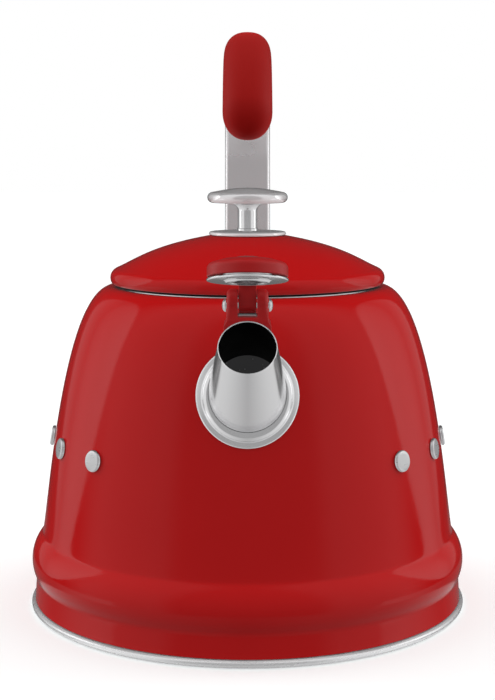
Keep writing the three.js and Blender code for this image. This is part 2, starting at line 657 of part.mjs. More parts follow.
function addKnob() {
  const knob = new THREE.Group();
  knob.position.z = lidTop + GAP;
  kettle.add(knob);
  const plateTop = KNOB_PLATE_THICKNESS;
  piece('knob_plate', turned([
    [knobScrewHole, 0],
    [lidFlatRadius, 0],
    [KNOB_PLATE_RADIUS - 0.6, -KNOB_PLATE_SAG],
    [KNOB_PLATE_RADIUS, 0.1 - KNOB_PLATE_SAG],
    [KNOB_PLATE_RADIUS - 0.3, plateTop - KNOB_PLATE_SAG],
    [KNOB_COLLAR_RADIUS + 1, plateTop],
    [knobScrewHole, plateTop],
  ], MID_FACETS), 'polished_steel', knob);

  const stemFoot = plateTop + GAP;
  const stemTop = stemFoot + KNOB_STEM_HEIGHT;
  const thread = KNOB_SCREW_RADIUS + GAP;
  const threadTop = stemFoot + 9;
  const flareRadius = KNOB_FLARE_RADIUS - KNOB_STEM_RADIUS;
  const flareFoot = stemTop - flareRadius - 0.2;
  const flare = arc([KNOB_FLARE_RADIUS, flareFoot], flareRadius, Math.PI, Math.PI / 2, 4);
  piece('knob_stem', turned([
    [0, threadTop],
    [thread, threadTop],
    [thread, stemFoot],
    [KNOB_COLLAR_RADIUS, stemFoot],
    [KNOB_COLLAR_RADIUS, stemFoot + KNOB_COLLAR_HEIGHT],
    [KNOB_STEM_RADIUS, stemFoot + KNOB_COLLAR_HEIGHT + 0.3],
    ...flare,
    [KNOB_FLARE_RADIUS, stemTop],
    [0, stemTop],
  ], SMALL_FACETS), 'polished_steel', knob);

  const discFoot = stemTop + GAP;
  const round = KNOB_DISC_THICKNESS / 2;
  const rim = arc([KNOB_DISC_RADIUS - round, discFoot + round], round, -Math.PI / 2, Math.PI / 2, 6);
  piece('knob_disc', turned([
    [0, discFoot],
    ...rim,
    [KNOB_DISC_RADIUS * 0.45, discFoot + KNOB_DISC_THICKNESS + KNOB_DISC_CROWN * 0.75],
    [0, discFoot + KNOB_DISC_THICKNESS + KNOB_DISC_CROWN],
  ], MID_FACETS), 'polished_steel', knob);

  const ceiling = -GAP - LID_WALL;
  const washerTop = ceiling - GAP;
  piece('knob_washer', turned([
    [knobScrewHole, washerTop - 1],
    [KNOB_WASHER_RADIUS, washerTop - 1],
    [KNOB_WASHER_RADIUS, washerTop],
    [knobScrewHole, washerTop],
  ], SMALL_FACETS), 'satin_steel', knob);
  const headTop = washerTop - 1 - GAP;
  piece('knob_screw', turned([
    [0, headTop - 2.4],
    [KNOB_SCREW_RADIUS * 1.5, headTop - 2.4],
    [KNOB_SCREW_RADIUS * 2, headTop - 1.4],
    [KNOB_SCREW_RADIUS * 2, headTop],
    [KNOB_SCREW_RADIUS, headTop],
    [KNOB_SCREW_RADIUS, threadTop - GAP],
    [0, threadTop - GAP],
  ], SMALL_FACETS), 'satin_steel', knob);
}

// ---------------------------------------------------------------- handle
// The handle's middle line as stations of position and direction in (back, up), from foot to tip.
const armFootUp = POT_HEIGHT - ARM_FOOT_DROP;
const armMiddleBack = potRadiusAt(armFootUp) + ARM_STAND_OFF;
const armBendCentre = [armMiddleBack - ARM_BEND_RADIUS, POT_HEIGHT + ARM_RISE];
const gripCrestUp = armBendCentre[1] + ARM_BEND_RADIUS;

function station(back, up, direction) {
  return { back, up, along: [Math.cos(direction), Math.sin(direction)] };
}

function bendStations([centreBack, centreUp], radius, from, to, steps) {
  return arc([centreBack, centreUp], radius, from, to, steps).map(([back, up], i) => (
    station(back, up, from + ((to - from) * i) / steps + Math.PI / 2)
  ));
}

// A rounded section across the handle at a station.
function handleRing({ back, up, along }, width, thickness, squareness, count) {
  const power = 2 / squareness;
  return Array.from({ length: count }, (_, i) => {
    const angle = (2 * Math.PI * i) / count;
    const across = (width / 2) * Math.sign(Math.cos(angle)) * Math.abs(Math.cos(angle)) ** power;
    const out = (thickness / 2) * Math.sign(Math.sin(angle)) * Math.abs(Math.sin(angle)) ** power;
    return point3(across, back + out * along[1], up - out * along[0]);
  });
}

const ARM_SQUARENESS = 5;
const GRIP_SQUARENESS = 2.4;
const TANG_SQUARENESS = 8;
const armCurve = [
  station(armMiddleBack, armFootUp, Math.PI / 2),
  ...bendStations(armBendCentre, ARM_BEND_RADIUS, 0, Math.PI / 2, 8),
];
const gripBend = bendStations(
  [GRIP_CREST_Y, gripCrestUp - GRIP_BEND_RADIUS],
  GRIP_BEND_RADIUS,
  Math.PI / 2,
  Math.PI / 2 + GRIP_BEND,
  7,
);

function addHandleArm() {
  const widthAt = (up) => {
    const share = (up - armFootUp) / (gripCrestUp - armFootUp);
    return ARM_WIDTH_FOOT + (ARM_WIDTH_TOP - ARM_WIDTH_FOOT) * share;
  };
  const gripBack = station(GRIP_BACK_Y + GAP, gripCrestUp, Math.PI);
  const tangEnd = station(GRIP_BACK_Y - TANG_LENGTH, gripCrestUp, Math.PI);
  const armRing = (at) => handleRing(at, widthAt(at.up), ARM_THICKNESS, ARM_SQUARENESS, SMALL_FACETS);
  const tangRing = (at, extra) => (
    handleRing(at, TANG_WIDTH + extra, TANG_THICKNESS + extra, TANG_SQUARENESS, SMALL_FACETS)
  );
  const arm = lofted([
    ...[...armCurve, gripBack].map(armRing),
    tangRing(gripBack, 0),
    tangRing(tangEnd, 0),
  ]);

  const armBack = armMiddleBack + ARM_THICKNESS / 2;
  const bracketFace = armMiddleBack - ARM_THICKNESS / 2 - GAP;
  const middle = armFootUp + HANDLE_BRACKET_HEIGHT / 2;
  const screwHeights = [middle - HANDLE_SCREW_SPACING / 2, middle + HANDLE_SCREW_SPACING / 2];
  const screwHoles = screwHeights.map((up) => (
    rod(HANDLE_SCREW_RADIUS + GAP, -armBack - 1, GAP + HANDLE_SCREW_GRIP - bracketFace)
      .rotateX(Math.PI / 2).translate(0, 0, up)
  ));
  const screwY = GRIP_BACK_Y - TANG_LENGTH / 2;
  const gripScrewHole = rod(GRIP_SCREW_RADIUS + GAP, gripCrestUp - GRIP_DEPTH, gripCrestUp + GAP)
    .translate(0, screwY, 0);
  piece('handle_arm', subtract(arm, ...screwHoles, gripScrewHole), 'polished_steel');

  const room = [HANDLE_BRACKET_WIDTH, bracketFace, HANDLE_BRACKET_HEIGHT];
  const block = box([0, bracketFace / 2, middle], room);
  piece('handle_bracket', subtract(block, potEnvelope(GAP), ...screwHoles), 'satin_steel');

  screwHeights.forEach((up, i) => {
    const screw = piece(`handle_screw_${i + 1}`, turned([
      [0, armBack + GAP + 2.4],
      [HANDLE_SCREW_RADIUS * 1.2, armBack + GAP + 2.4],
      [HANDLE_SCREW_RADIUS * 1.75, armBack + GAP + 1.2],
      [HANDLE_SCREW_RADIUS * 1.75, armBack + GAP],
      [HANDLE_SCREW_RADIUS, armBack + GAP],
      [HANDLE_SCREW_RADIUS, bracketFace - HANDLE_SCREW_GRIP],
      [0, bracketFace - HANDLE_SCREW_GRIP],
    ], SMALL_FACETS), 'satin_steel');
    screw.rotation.x = -Math.PI / 2;
    screw.position.z = up;
  });

  const gripRing = (at, share) => (
    handleRing(at, GRIP_WIDTH * share, GRIP_DEPTH * share, GRIP_SQUARENESS, SMALL_FACETS)
  );
  const last = gripBend.at(-1);
  const tipLength = GRIP_DEPTH / 2;
  const tipRings = [15, 35, 52, 68, 80].map((degrees) => {
    const angle = THREE.MathUtils.degToRad(degrees);
    const reach = tipLength * Math.sin(angle);
    const at = { ...last, back: last.back + reach * last.along[0], up: last.up + reach * last.along[1] };
    return gripRing(at, Math.cos(angle));
  });
  const edge = 1.2;
  const gripBody = lofted([
    gripRing(station(GRIP_BACK_Y, gripCrestUp, Math.PI), 0.9),
    gripRing(station(GRIP_BACK_Y - edge, gripCrestUp, Math.PI), 1),
    ...gripBend.map((at) => gripRing(at, 1)),
    ...tipRings,
  ]);
  const socket = lofted([
    tangRing(station(GRIP_BACK_Y + 1, gripCrestUp, Math.PI), 2 * GAP),
    tangRing(station(GRIP_BACK_Y - TANG_LENGTH - GAP, gripCrestUp, Math.PI), 2 * GAP),
  ]);
  const under = gripCrestUp - GRIP_DEPTH / 2;
  const headTop = under + 3;
  const headHole = rod(GRIP_SCREW_HEAD + GAP, under - 1, headTop + GAP).translate(0, screwY, 0);
  piece('handle_grip', subtract(gripBody, socket, gripScrewHole, headHole), 'soft_touch');

  piece('grip_screw', turned([
    [0, headTop - 1.8],
    [GRIP_SCREW_HEAD, headTop - 1.8],
    [GRIP_SCREW_HEAD, headTop],
    [GRIP_SCREW_RADIUS, headTop],
    [GRIP_SCREW_RADIUS, gripCrestUp],
    [0, gripCrestUp],
  ], SMALL_FACETS), 'satin_steel').position.set(0, screwY, 0);
}

// ---------------------------------------------------------------- side studs
function addStuds() {
  const wallSlope = potSlopeAt(STUD_HEIGHT);
  const reach = potRadiusAt(STUD_HEIGHT) + GAP;
  for (const [sideName, sign] of [['left', -1], ['right', 1]]) {
    STUD_ANGLES.forEach((degrees, i) => {
      const turn = new THREE.Group();
      turn.position.z = STUD_HEIGHT;
      turn.rotation.z = sign * THREE.MathUtils.degToRad(degrees);
      kettle.add(turn);
      const stud = piece(`stud_${sideName}_${i + 1}`, turned([
        [0, 0],
        [STUD_RADIUS - 0.2, 0],
        [STUD_RADIUS, STUD_THICKNESS * 0.5],
        [STUD_RADIUS - 0.6, STUD_THICKNESS * 0.95],
        [0, STUD_THICKNESS],
      ], SMALL_FACETS), 'satin_steel', turn);
      stud.position.y = -reach;
      stud.rotation.x = Math.PI / 2 - wallSlope;
    });
  }
}

addBase();
addPot();
addSpout();
addWhistleBracket();
addHingePin();
addWhistle();
addLid();
addKnob();
addHandleArm();
addStuds();

export default kettle;
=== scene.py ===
"""Stovetop whistling kettle: fine surfaces, materials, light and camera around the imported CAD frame."""

import json
import math

import bmesh
import bpy
from mathutils import Matrix, Vector


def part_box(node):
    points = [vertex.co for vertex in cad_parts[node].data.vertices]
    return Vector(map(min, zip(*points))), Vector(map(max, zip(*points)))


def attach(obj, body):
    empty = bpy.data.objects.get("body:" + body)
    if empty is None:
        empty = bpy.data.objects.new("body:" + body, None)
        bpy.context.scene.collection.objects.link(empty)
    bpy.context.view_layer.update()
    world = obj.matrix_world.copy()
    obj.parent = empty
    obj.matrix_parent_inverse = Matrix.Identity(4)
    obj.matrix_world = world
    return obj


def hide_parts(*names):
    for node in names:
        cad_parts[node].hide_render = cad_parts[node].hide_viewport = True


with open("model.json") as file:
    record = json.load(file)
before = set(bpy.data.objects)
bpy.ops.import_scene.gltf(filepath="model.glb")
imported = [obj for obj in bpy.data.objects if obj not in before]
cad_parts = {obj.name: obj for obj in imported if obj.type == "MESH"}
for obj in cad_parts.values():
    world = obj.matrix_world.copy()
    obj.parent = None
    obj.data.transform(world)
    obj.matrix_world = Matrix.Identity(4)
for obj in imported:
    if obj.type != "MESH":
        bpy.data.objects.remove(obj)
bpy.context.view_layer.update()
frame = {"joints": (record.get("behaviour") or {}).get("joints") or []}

# Lengths below are in millimetres in the row frame: +Z up, the spout towards -Y, X across.
MM = 0.001
ROUND_BIG = 192
ROUND_MID = 96
ROUND_SMALL = 48


def box_mm(node):
    """A node's lowest and highest corners at rest."""
    low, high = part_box(node)
    return low / MM, high / MM


def joint(name):
    return next(j for j in frame["joints"] if j["name"] == name)


# ---------------------------------------------------------------- outlines
def arc(centre, radius, start, end, steps):
    """Points on a circle as (radius, height) pairs, from one angle to another in degrees."""
    angles = (math.radians(start + (end - start) * i / steps) for i in range(steps + 1))
    return [(centre[0] + radius * math.cos(a), centre[1] + radius * math.sin(a)) for a in angles]


def cubic(p0, p1, p2, p3, steps):
    """Points on a Bezier curve of four control points."""
    points = []
    for i in range(steps + 1):
        t = i / steps
        weights = ((1 - t) ** 3, 3 * (1 - t) ** 2 * t, 3 * (1 - t) * t**2, t**3)
        points.append(tuple(sum(w * p[k] for w, p in zip(weights, (p0, p1, p2, p3))) for k in (0, 1)))
    return points


def evenly(points, spacing):
    """The same line with points about one spacing apart."""
    result = [points[0]]
    for a, b in zip(points, points[1:]):
        count = max(1, round(math.dist(a, b) / spacing))
        result += [tuple(a[k] + (b[k] - a[k]) * i / count for k in (0, 1)) for i in range(1, count + 1)]
    return result


def relaxed(points, passes):
    """Rounds the creases of a line, leaving its ends in place."""
    for _ in range(passes):
        middle = [
            tuple((a[k] + 2 * b[k] + c[k]) / 4 for k in (0, 1))
            for a, b, c in zip(points, points[1:], points[2:])
        ]
        points = [points[0], *middle, points[-1]]
    return points


def rounded(corners, radius, steps=4, is_loop=False):
    """A polygon line with each inner corner replaced by a small curve of about that radius."""
    result = []
    count = len(corners)
    for i, corner in enumerate(corners):
        if not is_loop and i in (0, count - 1):
            result.append(corner)
            continue
        before = Vector(corners[i - 1])
        after = Vector(corners[(i + 1) % count])
        here = Vector(corner)
        reach_in = min(radius, (before - here).length * 0.45)
        reach_out = min(radius, (after - here).length * 0.45)
        start = here + (before - here).normalized() * reach_in
        end = here + (after - here).normalized() * reach_out
        for s in range(steps + 1):
            t = s / steps
            result.append(tuple(start * (1 - t) ** 2 + here * 2 * t * (1 - t) + end * t**2))
    return result


def flat_ring(inner, outer, low, high, edge):
    """The closed section of a flat ring with its edges rounded."""
    return rounded([(inner, low), (outer, low), (outer, high), (inner, high)], edge, is_loop=True)


def sheet(outline, thickness):
    """The closed section of a sheet whose outer side is the outline, with its thickness to the left."""
    inner = []
    for i, point in enumerate(outline):
        before = Vector(outline[max(i - 1, 0)])
        after = Vector(outline[min(i + 1, len(outline) - 1)])
        along = (after - before).normalized()
        inner.append((point[0] - along.y * thickness, point[1] + along.x * thickness))
    return outline + inner[::-1]


# ---------------------------------------------------------------- meshes
def mesh_object(name, vertices, faces):
    """An object from millimetre points, shaded smooth across soft edges."""
    mesh = bpy.data.meshes.new(name)
    mesh.from_pydata([Vector(v) * MM for v in vertices], [], faces)
    bm = bmesh.new()
    bm.from_mesh(mesh)
    bmesh.ops.remove_doubles(bm, verts=bm.verts, dist=1e-7)
    bmesh.ops.recalc_face_normals(bm, faces=bm.faces)
    bm.to_mesh(mesh)
    bm.free()
    obj = bpy.data.objects.new(name, mesh)
    bpy.context.scene.collection.objects.link(obj)
    shade(obj)
    return obj


def shade(obj, angle=38):
    """Smooth shading, with edges sharper than the angle in degrees kept crisp."""
    obj.data.shade_smooth()
    obj.data.set_sharp_from_angle(angle=math.radians(angle))


def lathe(name, section, facets, place=None):
    """A section of (radius, height) points turned about Z: a loop, or a line from axis to axis."""
    is_loop = section[0][0] > 1e-6 or section[-1][0] > 1e-6
    vertices, faces = [], []
    for radius, height in section:
        for j in range(facets):
            angle = 2 * math.pi * j / facets
            vertices.append((radius * math.cos(angle), radius * math.sin(angle), height))
    count = len(section)
    for i in range(count if is_loop else count - 1):
        for j in range(facets):
            a, b = i * facets + j, i * facets + (j + 1) % facets
            c, d = ((i + 1) % count) * facets + j, ((i + 1) % count) * facets + (j + 1) % facets
            if section[i][0] < 1e-6:
                faces.append((a, d, c))
            elif section[(i + 1) % count][0] < 1e-6:
                faces.append((a, b, c))
            else:
                faces.append((a, b, d, c))
    if place is not None:
        vertices = [place @ Vector(v) for v in vertices]
    return mesh_object(name, vertices, faces)


def loft(name, rings, is_tube=False):
    """Skins a run of equal rings. A tube closes on itself, any other run gets flat ends."""
    count = len(rings[0])
    faces = []
    spans = len(rings) if is_tube else len(rings) - 1
    for i in range(spans):
        k = (i + 1) % len(rings)
        for j in range(count):
            n = (j + 1) % count
            faces.append((i * count + j, i * count + n, k * count + n, k * count + j))
    if not is_tube:
        faces.append(tuple(range(count))[::-1])
        faces.append(tuple((len(rings) - 1) * count + j for j in range(count)))
    return mesh_object(name, [p for ring in rings for p in ring], faces)


def plate_across(name, outline, width):
    """A side outline of (forward, up) points, extruded across X and centred."""
    return loft(name, [[(x, -forward, up) for forward, up in outline] for x in (-width / 2, width / 2)])


def applied(obj):
    """Writes the object's modifiers into its mesh."""
    graph = bpy.context.evaluated_depsgraph_get()
    mesh = bpy.data.meshes.new_from_object(obj.evaluated_get(graph))
    old = obj.data
    obj.modifiers.clear()
    obj.data = mesh
    mesh.name = obj.name
    bpy.data.meshes.remove(old)


def round_cutter(radius, start, end, place):
    """A rod along local Z, to cut a hole with."""
    return lathe("cutter", [(0, start), (radius, start), (radius, end), (0, end)], ROUND_SMALL, place)


def boolean(obj, operation, *others):
    """Joins other objects to this one or cuts them from it, and uses them up."""
    for other in others:
        modifier = obj.modifiers.new("cut", "BOOLEAN")
        modifier.operation = operation
        modifier.solver = "EXACT"
        modifier.object = other
        applied(obj)
        bpy.data.objects.remove(other)
    shade(obj)
    return obj


def moved(obj, place):
    """Carries the mesh to a place given in millimetres."""
    obj.data.transform(Matrix.Translation(place.translation * MM) @ place.to_3x3().to_4x4())


def softened(obj, voxel, passes):
    """Remeshes the solid finely and smooths it, so that its edges are moulded round."""
    remesh = obj.modifiers.new("remesh", "REMESH")
    remesh.mode = "VOXEL"
    remesh.voxel_size = voxel * MM
    smooth = obj.modifiers.new("smooth", "SMOOTH")
    smooth.factor = 0.5
    smooth.iterations = passes
    applied(obj)
    shade(obj, 60)
    return obj


# ---------------------------------------------------------------- materials
def new_material(name, base, roughness, metallic=0.0):
    material = bpy.data.materials.new(name)
    material.use_nodes = True
    shader = material.node_tree.nodes["Principled BSDF"]
    shader.inputs["Base Color"].default_value = (*base, 1)
    shader.inputs["Roughness"].default_value = roughness
    shader.inputs["Metallic"].default_value = metallic
    return material, shader


def add_node(material, kind, **settings):
    node = material.node_tree.nodes.new(kind)
    for key, value in settings.items():
        setattr(node, key, value)
    return node


def noise(material, scale, detail=2.0, stretch=(1, 1, 1)):
    """Noise fixed to the object, with features of about 1 / scale metres."""
    coordinates = add_node(material, "ShaderNodeTexCoord")
    mapping = add_node(material, "ShaderNodeMapping")
    mapping.inputs["Scale"].default_value = stretch
    texture = add_node(material, "ShaderNodeTexNoise")
    texture.inputs["Scale"].default_value = scale
    texture.inputs["Detail"].default_value = detail
    link = material.node_tree.links.new
    link(coordinates.outputs["Object"], mapping.inputs["Vector"])
    link(mapping.outputs["Vector"], texture.inputs["Vector"])
    return texture.outputs["Fac"]


def vary(material, source, target, low, high):
    """Maps a 0 to 1 pattern onto a socket between two values."""
    span = add_node(material, "ShaderNodeMapRange")
    span.inputs["From Min"].default_value = 0.3
    span.inputs["From Max"].default_value = 0.7
    span.inputs["To Min"].default_value = low
    span.inputs["To Max"].default_value = high
    link = material.node_tree.links.new
    link(source, span.inputs["Value"])
    link(span.outputs["Result"], target)


def vary_colour(material, source, shader, low, high):
    mix = add_node(material, "ShaderNodeMix", data_type="RGBA")
    mix.inputs["A"].default_value = (*low, 1)
    mix.inputs["B"].default_value = (*high, 1)
    link = material.node_tree.links.new
    link(source, mix.inputs["Factor"])
    link(mix.outputs["Result"], shader.inputs["Base Color"])


def bump(material, source, shader, height, strength=1.0):
    """Relief of a pattern whose full swing is height metres."""
    node = add_node(material, "ShaderNodeBump")
    node.inputs["Strength"].default_value = strength
    node.inputs["Distance"].default_value = height
    link = material.node_tree.links.new
    link(source, node.inputs["Height"])
    link(node.outputs["Normal"], shader.inputs["Normal"])


def enamel_material():
    """Glossy red enamel: even colour, faint orange peel and a clear glassy top."""
    material, shader = new_material("enamel_red", (0.56, 0.0075, 0.008), 0.1)
    shader.inputs["IOR"].default_value = 1.25
    vary_colour(material, noise(material, 60), shader, (0.55, 0.007, 0.0075), (0.57, 0.008, 0.0085))
    vary(material, noise(material, 25), shader.inputs["Roughness"], 0.08, 0.13)
    bump(material, noise(material, 350, 1.0), shader, 0.00003, 0.35)
    return material


def dark_lining_material():
    """The pot's inside: near black enamel with fine pale specks."""
    material, shader = new_material("enamel_lining", (0.012, 0.012, 0.014), 0.35)
    coordinates = add_node(material, "ShaderNodeTexCoord")
    cells = add_node(material, "ShaderNodeTexVoronoi")
    cells.inputs["Scale"].default_value = 420
    speck = add_node(material, "ShaderNodeMapRange")
    speck.inputs["From Min"].default_value = 0.1
    speck.inputs["From Max"].default_value = 0.16
    speck.inputs["To Min"].default_value = 1
    speck.inputs["To Max"].default_value = 0
    link = material.node_tree.links.new
    link(coordinates.outputs["Object"], cells.inputs["Vector"])
    link(cells.outputs["Distance"], speck.inputs["Value"])
    vary_colour(material, speck.outputs["Result"], shader, (0.012, 0.012, 0.014), (0.16, 0.16, 0.17))
    vary(material, noise(material, 30), shader.inputs["Roughness"], 0.3, 0.42)
    return material


def soft_touch_material():
    """Matte red soft-touch coating over the grip, with a very fine grain."""
    material, shader = new_material("soft_touch_red", (0.37, 0.0075, 0.006), 0.5)
    shader.inputs["IOR"].default_value = 1.16
    shader.inputs["Sheen Weight"].default_value = 0.5
    shader.inputs["Sheen Roughness"].default_value = 0.35
    shader.inputs["Sheen Tint"].default_value = (0.9, 0.03, 0.026, 1)
    vary_colour(material, noise(material, 90), shader, (0.36, 0.007, 0.0055), (0.38, 0.008, 0.0065))
    vary(material, noise(material, 40), shader.inputs["Roughness"], 0.46, 0.56)
    bump(material, noise(material, 2600, 1.0), shader, 0.00004, 0.4)
    return material


def whistle_plastic_material():
    """Smooth moulded red plastic with a semi-matte skin."""
    material, shader = new_material("whistle_red", (0.46, 0.004, 0.005), 0.38)
    shader.inputs["IOR"].default_value = 1.36
    vary_colour(material, noise(material, 120), shader, (0.45, 0.0035, 0.0045), (0.47, 0.0045, 0.0055))
    vary(material, noise(material, 60), shader.inputs["Roughness"], 0.34, 0.42)
    bump(material, noise(material, 1800, 1.0), shader, 0.00003, 0.25)
    return material


def metal_material(name, base, rough, grain, stretch=(1, 1, 1), relief=0.00001, metallic=0.85):
    """A metal whose roughness and fine relief follow a stretched grain."""
    material, shader = new_material(name, base, sum(rough) / 2, metallic)
    vary(material, noise(material, grain, 3.0, stretch), shader.inputs["Roughness"], *rough)
    bump(material, noise(material, grain * 2, 2.0, stretch), shader, relief, 0.3)
    return material


def spout_bore_shade_material():
    """Painted shade for the inside of the spout: near black and barely reflective, standing in for the
    shade down the bore.
    """
    material, shader = new_material("spout_bore_painted_shade", (0.001, 0.001, 0.001), 0.85)
    shader.inputs["IOR"].default_value = 1.05
    vary(material, noise(material, 80), shader.inputs["Roughness"], 0.8, 0.9)
    bump(material, noise(material, 400), shader, 0.00002, 0.2)
    return material


# Black silicone for the lid's gasket; the same finish is painted onto the lid skirt's outer faces as shade
# in the gap under the lid.
def silicone_and_gap_shade_material():
    material, shader = new_material("silicone_black_and_gap_shade", (0.002, 0.002, 0.002), 0.6)
    shader.inputs["IOR"].default_value = 1.2
    vary(material, noise(material, 200), shader.inputs["Roughness"], 0.5, 0.7)
    bump(material, noise(material, 1500, 1.0), shader, 0.00003, 0.3)
    return material


ENAMEL = enamel_material()
LINING = dark_lining_material()
SOFT_TOUCH = soft_touch_material()
WHISTLE_RED = whistle_plastic_material()
POLISHED = metal_material("steel_polished", (0.85, 0.85, 0.86), (0.07, 0.12), 40)
KNOB_STEEL = metal_material("steel_knob", (0.88, 0.88, 0.89), (0.07, 0.12), 40, metallic=0.5)
PLATE_STEEL = metal_material("steel_plate", (0.9, 0.9, 0.91), (0.1, 0.15), 40, metallic=0.25)
ARM_STEEL = metal_material("steel_arm", (0.8, 0.8, 0.81), (0.24, 0.28), 40, relief=0.000002, metallic=0.75)
SPOUT_STEEL = metal_material("steel_spout", (0.83, 0.83, 0.84), (0.14, 0.2), 60, relief=0.000003)
SATIN = metal_material("steel_satin", (0.66, 0.66, 0.67), (0.26, 0.36), 150, (1, 1, 12), 0.00002)
BASE_STEEL = metal_material("steel_base", (0.88, 0.88, 0.89), (0.24, 0.32), 120, (1, 1, 8), 0.000001, 0.7)
SPOUT_BORE_SHADE = spout_bore_shade_material()
ALUMINIUM = metal_material("aluminium_raw", (0.6, 0.61, 0.62), (0.35, 0.5), 300)
SILICONE_AND_GAP_SHADE = silicone_and_gap_shade_material()


def dress(obj, body, slot, material, *nodes):
    """Puts a piece on its body, gives it its finish and lets it stand for CAD nodes."""
    obj.data.materials.clear()
    obj.data.materials.append(material)
    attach(obj, body)
    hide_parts(*nodes)
    return obj


def keep_from_mirrors(obj):
    """Leaves a piece out of the other pieces' reflections, so they mirror only the studio."""
    obj.visible_glossy = False


def line_inside(obj, material, is_inside):
    """Gives the faces that satisfy a test on their centre and normal a second material."""
    obj.data.materials.append(material)
    for face in obj.data.polygons:
        if is_inside(face.center / MM, face.normal):
            face.material_index = 1


# ---------------------------------------------------------------- pot
BASE_RADIUS = box_mm("base_cap")[1].x
RING_TOP = box_mm("base_cap")[1].z
POT_FOOT = box_mm("pot_shell")[0].z
POT_HEIGHT = box_mm("pot_shell")[1].z
POT_WALL = 1.2
SKIRT_RADIUS = BASE_RADIUS - 1.7
BEAD_CENTRE = (BASE_RADIUS - 17.4, 21.7)
BEAD_RADIUS = 16.85
BEAD_ANGLES = (-27.2, 44.8)
MOUTH_EDGE_RADIUS = box_mm("lid_seal")[1].x + 0.3
NECK_RADIUS = 55.8
NECK_DEPTH = 10

bead_line = arc(BEAD_CENTRE, BEAD_RADIUS, *BEAD_ANGLES, 30)
bead_top = bead_line[-1]
mouth_edge = (MOUTH_EDGE_RADIUS, POT_HEIGHT)
side_line = cubic(
    bead_top,
    (bead_top[0] - 2.5, bead_top[1] + 8.5),
    (mouth_edge[0] + 23.6, mouth_edge[1] + 3.6),
    mouth_edge,
    90,
)


def pot_radius_at(height):
    """Outer radius of the pot's side at a height between the bead and the shoulder."""
    for low, high in zip(side_line, side_line[1:]):
        if low[1] <= height <= high[1]:
            return low[0] + (high[0] - low[0]) * (height - low[1]) / (high[1] - low[1])
    return side_line[0][0] if height < side_line[0][1] else side_line[-1][0]


def pot_slope_at(height):
    """Elevation of the side's outward normal, in radians."""
    return math.atan2(pot_radius_at(height - 2) - pot_radius_at(height + 2), 4)


def build_pot():
    neck_top = (NECK_RADIUS, POT_HEIGHT - 0.8)
    neck_foot = (NECK_RADIUS, neck_top[1] - NECK_DEPTH)
    skirt = [(SKIRT_RADIUS, POT_FOOT), bead_line[0]]
    shoulder = rounded([side_line[-2], mouth_edge, neck_top, neck_foot], 1.2)
    outline = relaxed(evenly(skirt + bead_line[1:] + side_line[1:-2] + shoulder, 0.9), 3)
    pot = lathe("pot_enamel", sheet(outline, POT_WALL), ROUND_BIG)
    boolean(pot, "DIFFERENCE", spout_plug("pot_hole", 0.25))
    keep_from_mirrors(dress(pot, "kettle", "enamel", ENAMEL, "pot_shell"))

    def is_lining(centre, normal):
        radius = math.hypot(centre.x, centre.y)
        faces_in = normal.x * centre.x + normal.y * centre.y < 0 or normal.z < -0.2
        low_enough = centre.z < POT_HEIGHT - 2
        on_side = centre.z > bead_top[1]
        outer = pot_radius_at(centre.z) - POT_WALL * 0.6 if on_side else SKIRT_RADIUS - 1
        return faces_in and low_enough and NECK_RADIUS + 1 < radius < outer

    line_inside(pot, LINING, is_lining)


def build_base():
    ring, lip, sheet_top = 1.5, 95.3, 1.0
    flat = BASE_RADIUS - 3.2
    section = [
        (0, 0),
        (flat, 0),
        *arc((BASE_RADIUS - ring, ring + 0.1), ring, -80, 62, 14),
        (SKIRT_RADIUS + 0.2, RING_TOP),
        (lip, RING_TOP),
        (lip, sheet_top),
        (0, sheet_top),
    ]
    cap = lathe("base_steel", rounded(section, 0.4), ROUND_BIG)
    keep_from_mirrors(dress(cap, "kettle", "satin_steel", BASE_STEEL, "base_cap"))

    low, high = box_mm("base_pan")
    pan = rounded([(0, low.z), (high.x - 2, low.z), (high.x, low.z + 2), (high.x, high.z)], 2)
    pan = lathe("pan_steel", sheet(pan, 1), ROUND_BIG)
    keep_from_mirrors(dress(pan, "kettle", "satin_steel", SATIN, "base_pan"))

    low, high = box_mm("heat_spreader")
    disc = rounded([(0, low.z), (high.x, low.z), (high.x, high.z), (0, high.z)], 0.5)
    spreader = lathe("spreader_disc", disc, ROUND_MID)
    keep_from_mirrors(dress(spreader, "kettle", "aluminium", ALUMINIUM, "heat_spreader"))


# ---------------------------------------------------------------- spout
SPOUT_FOOT_HEIGHT = 110
SPOUT_RISE = math.radians(31.5)
SPOUT_LENGTH = 45.5
SPOUT_FOOT_RADIUS = 16
SPOUT_MOUTH_RADIUS = 11.3
SPOUT_MOUTH_TILT = math.radians(34.9)
SPOUT_WALL = 0.6
SPOUT_ROOT = -14
spout_foot_forward = pot_radius_at(SPOUT_FOOT_HEIGHT)


def spout_point(along, angle, extra):
    """A point on the spout's skin: distance from the foot, angle round, and growth of radius."""
    share = along / SPOUT_LENGTH
    radius = SPOUT_FOOT_RADIUS + (SPOUT_MOUTH_RADIUS - SPOUT_FOOT_RADIUS) * share + extra
    tilt = SPOUT_RISE + (SPOUT_MOUTH_TILT - SPOUT_RISE) * max(share, 0)
    forward = spout_foot_forward + along * math.cos(SPOUT_RISE)
    up = SPOUT_FOOT_HEIGHT + along * math.sin(SPOUT_RISE)
    lift = radius * math.sin(angle)
    across = radius * math.cos(angle)
    return Vector((across, lift * math.sin(tilt) - forward, up + lift * math.cos(tilt)))


def spout_ring(along, extra):
    return [spout_point(along, 2 * math.pi * j / ROUND_MID, extra) for j in range(ROUND_MID)]


def spout_plug(name, clearance):
    return loft(name, [spout_ring(SPOUT_ROOT - 2, clearance), spout_ring(SPOUT_LENGTH, clearance)])


def root_along(angle, extra):
    """Where the spout's skin at that angle meets the inner face of the pot's wall."""
    low, high = SPOUT_ROOT, 8.0
    for _ in range(30):
        middle = (low + high) / 2
        p = spout_point(middle, angle, extra)
        if math.hypot(p.x, p.y) < pot_radius_at(p.z) - POT_WALL:
            low = middle
        else:
            high = middle
    return low


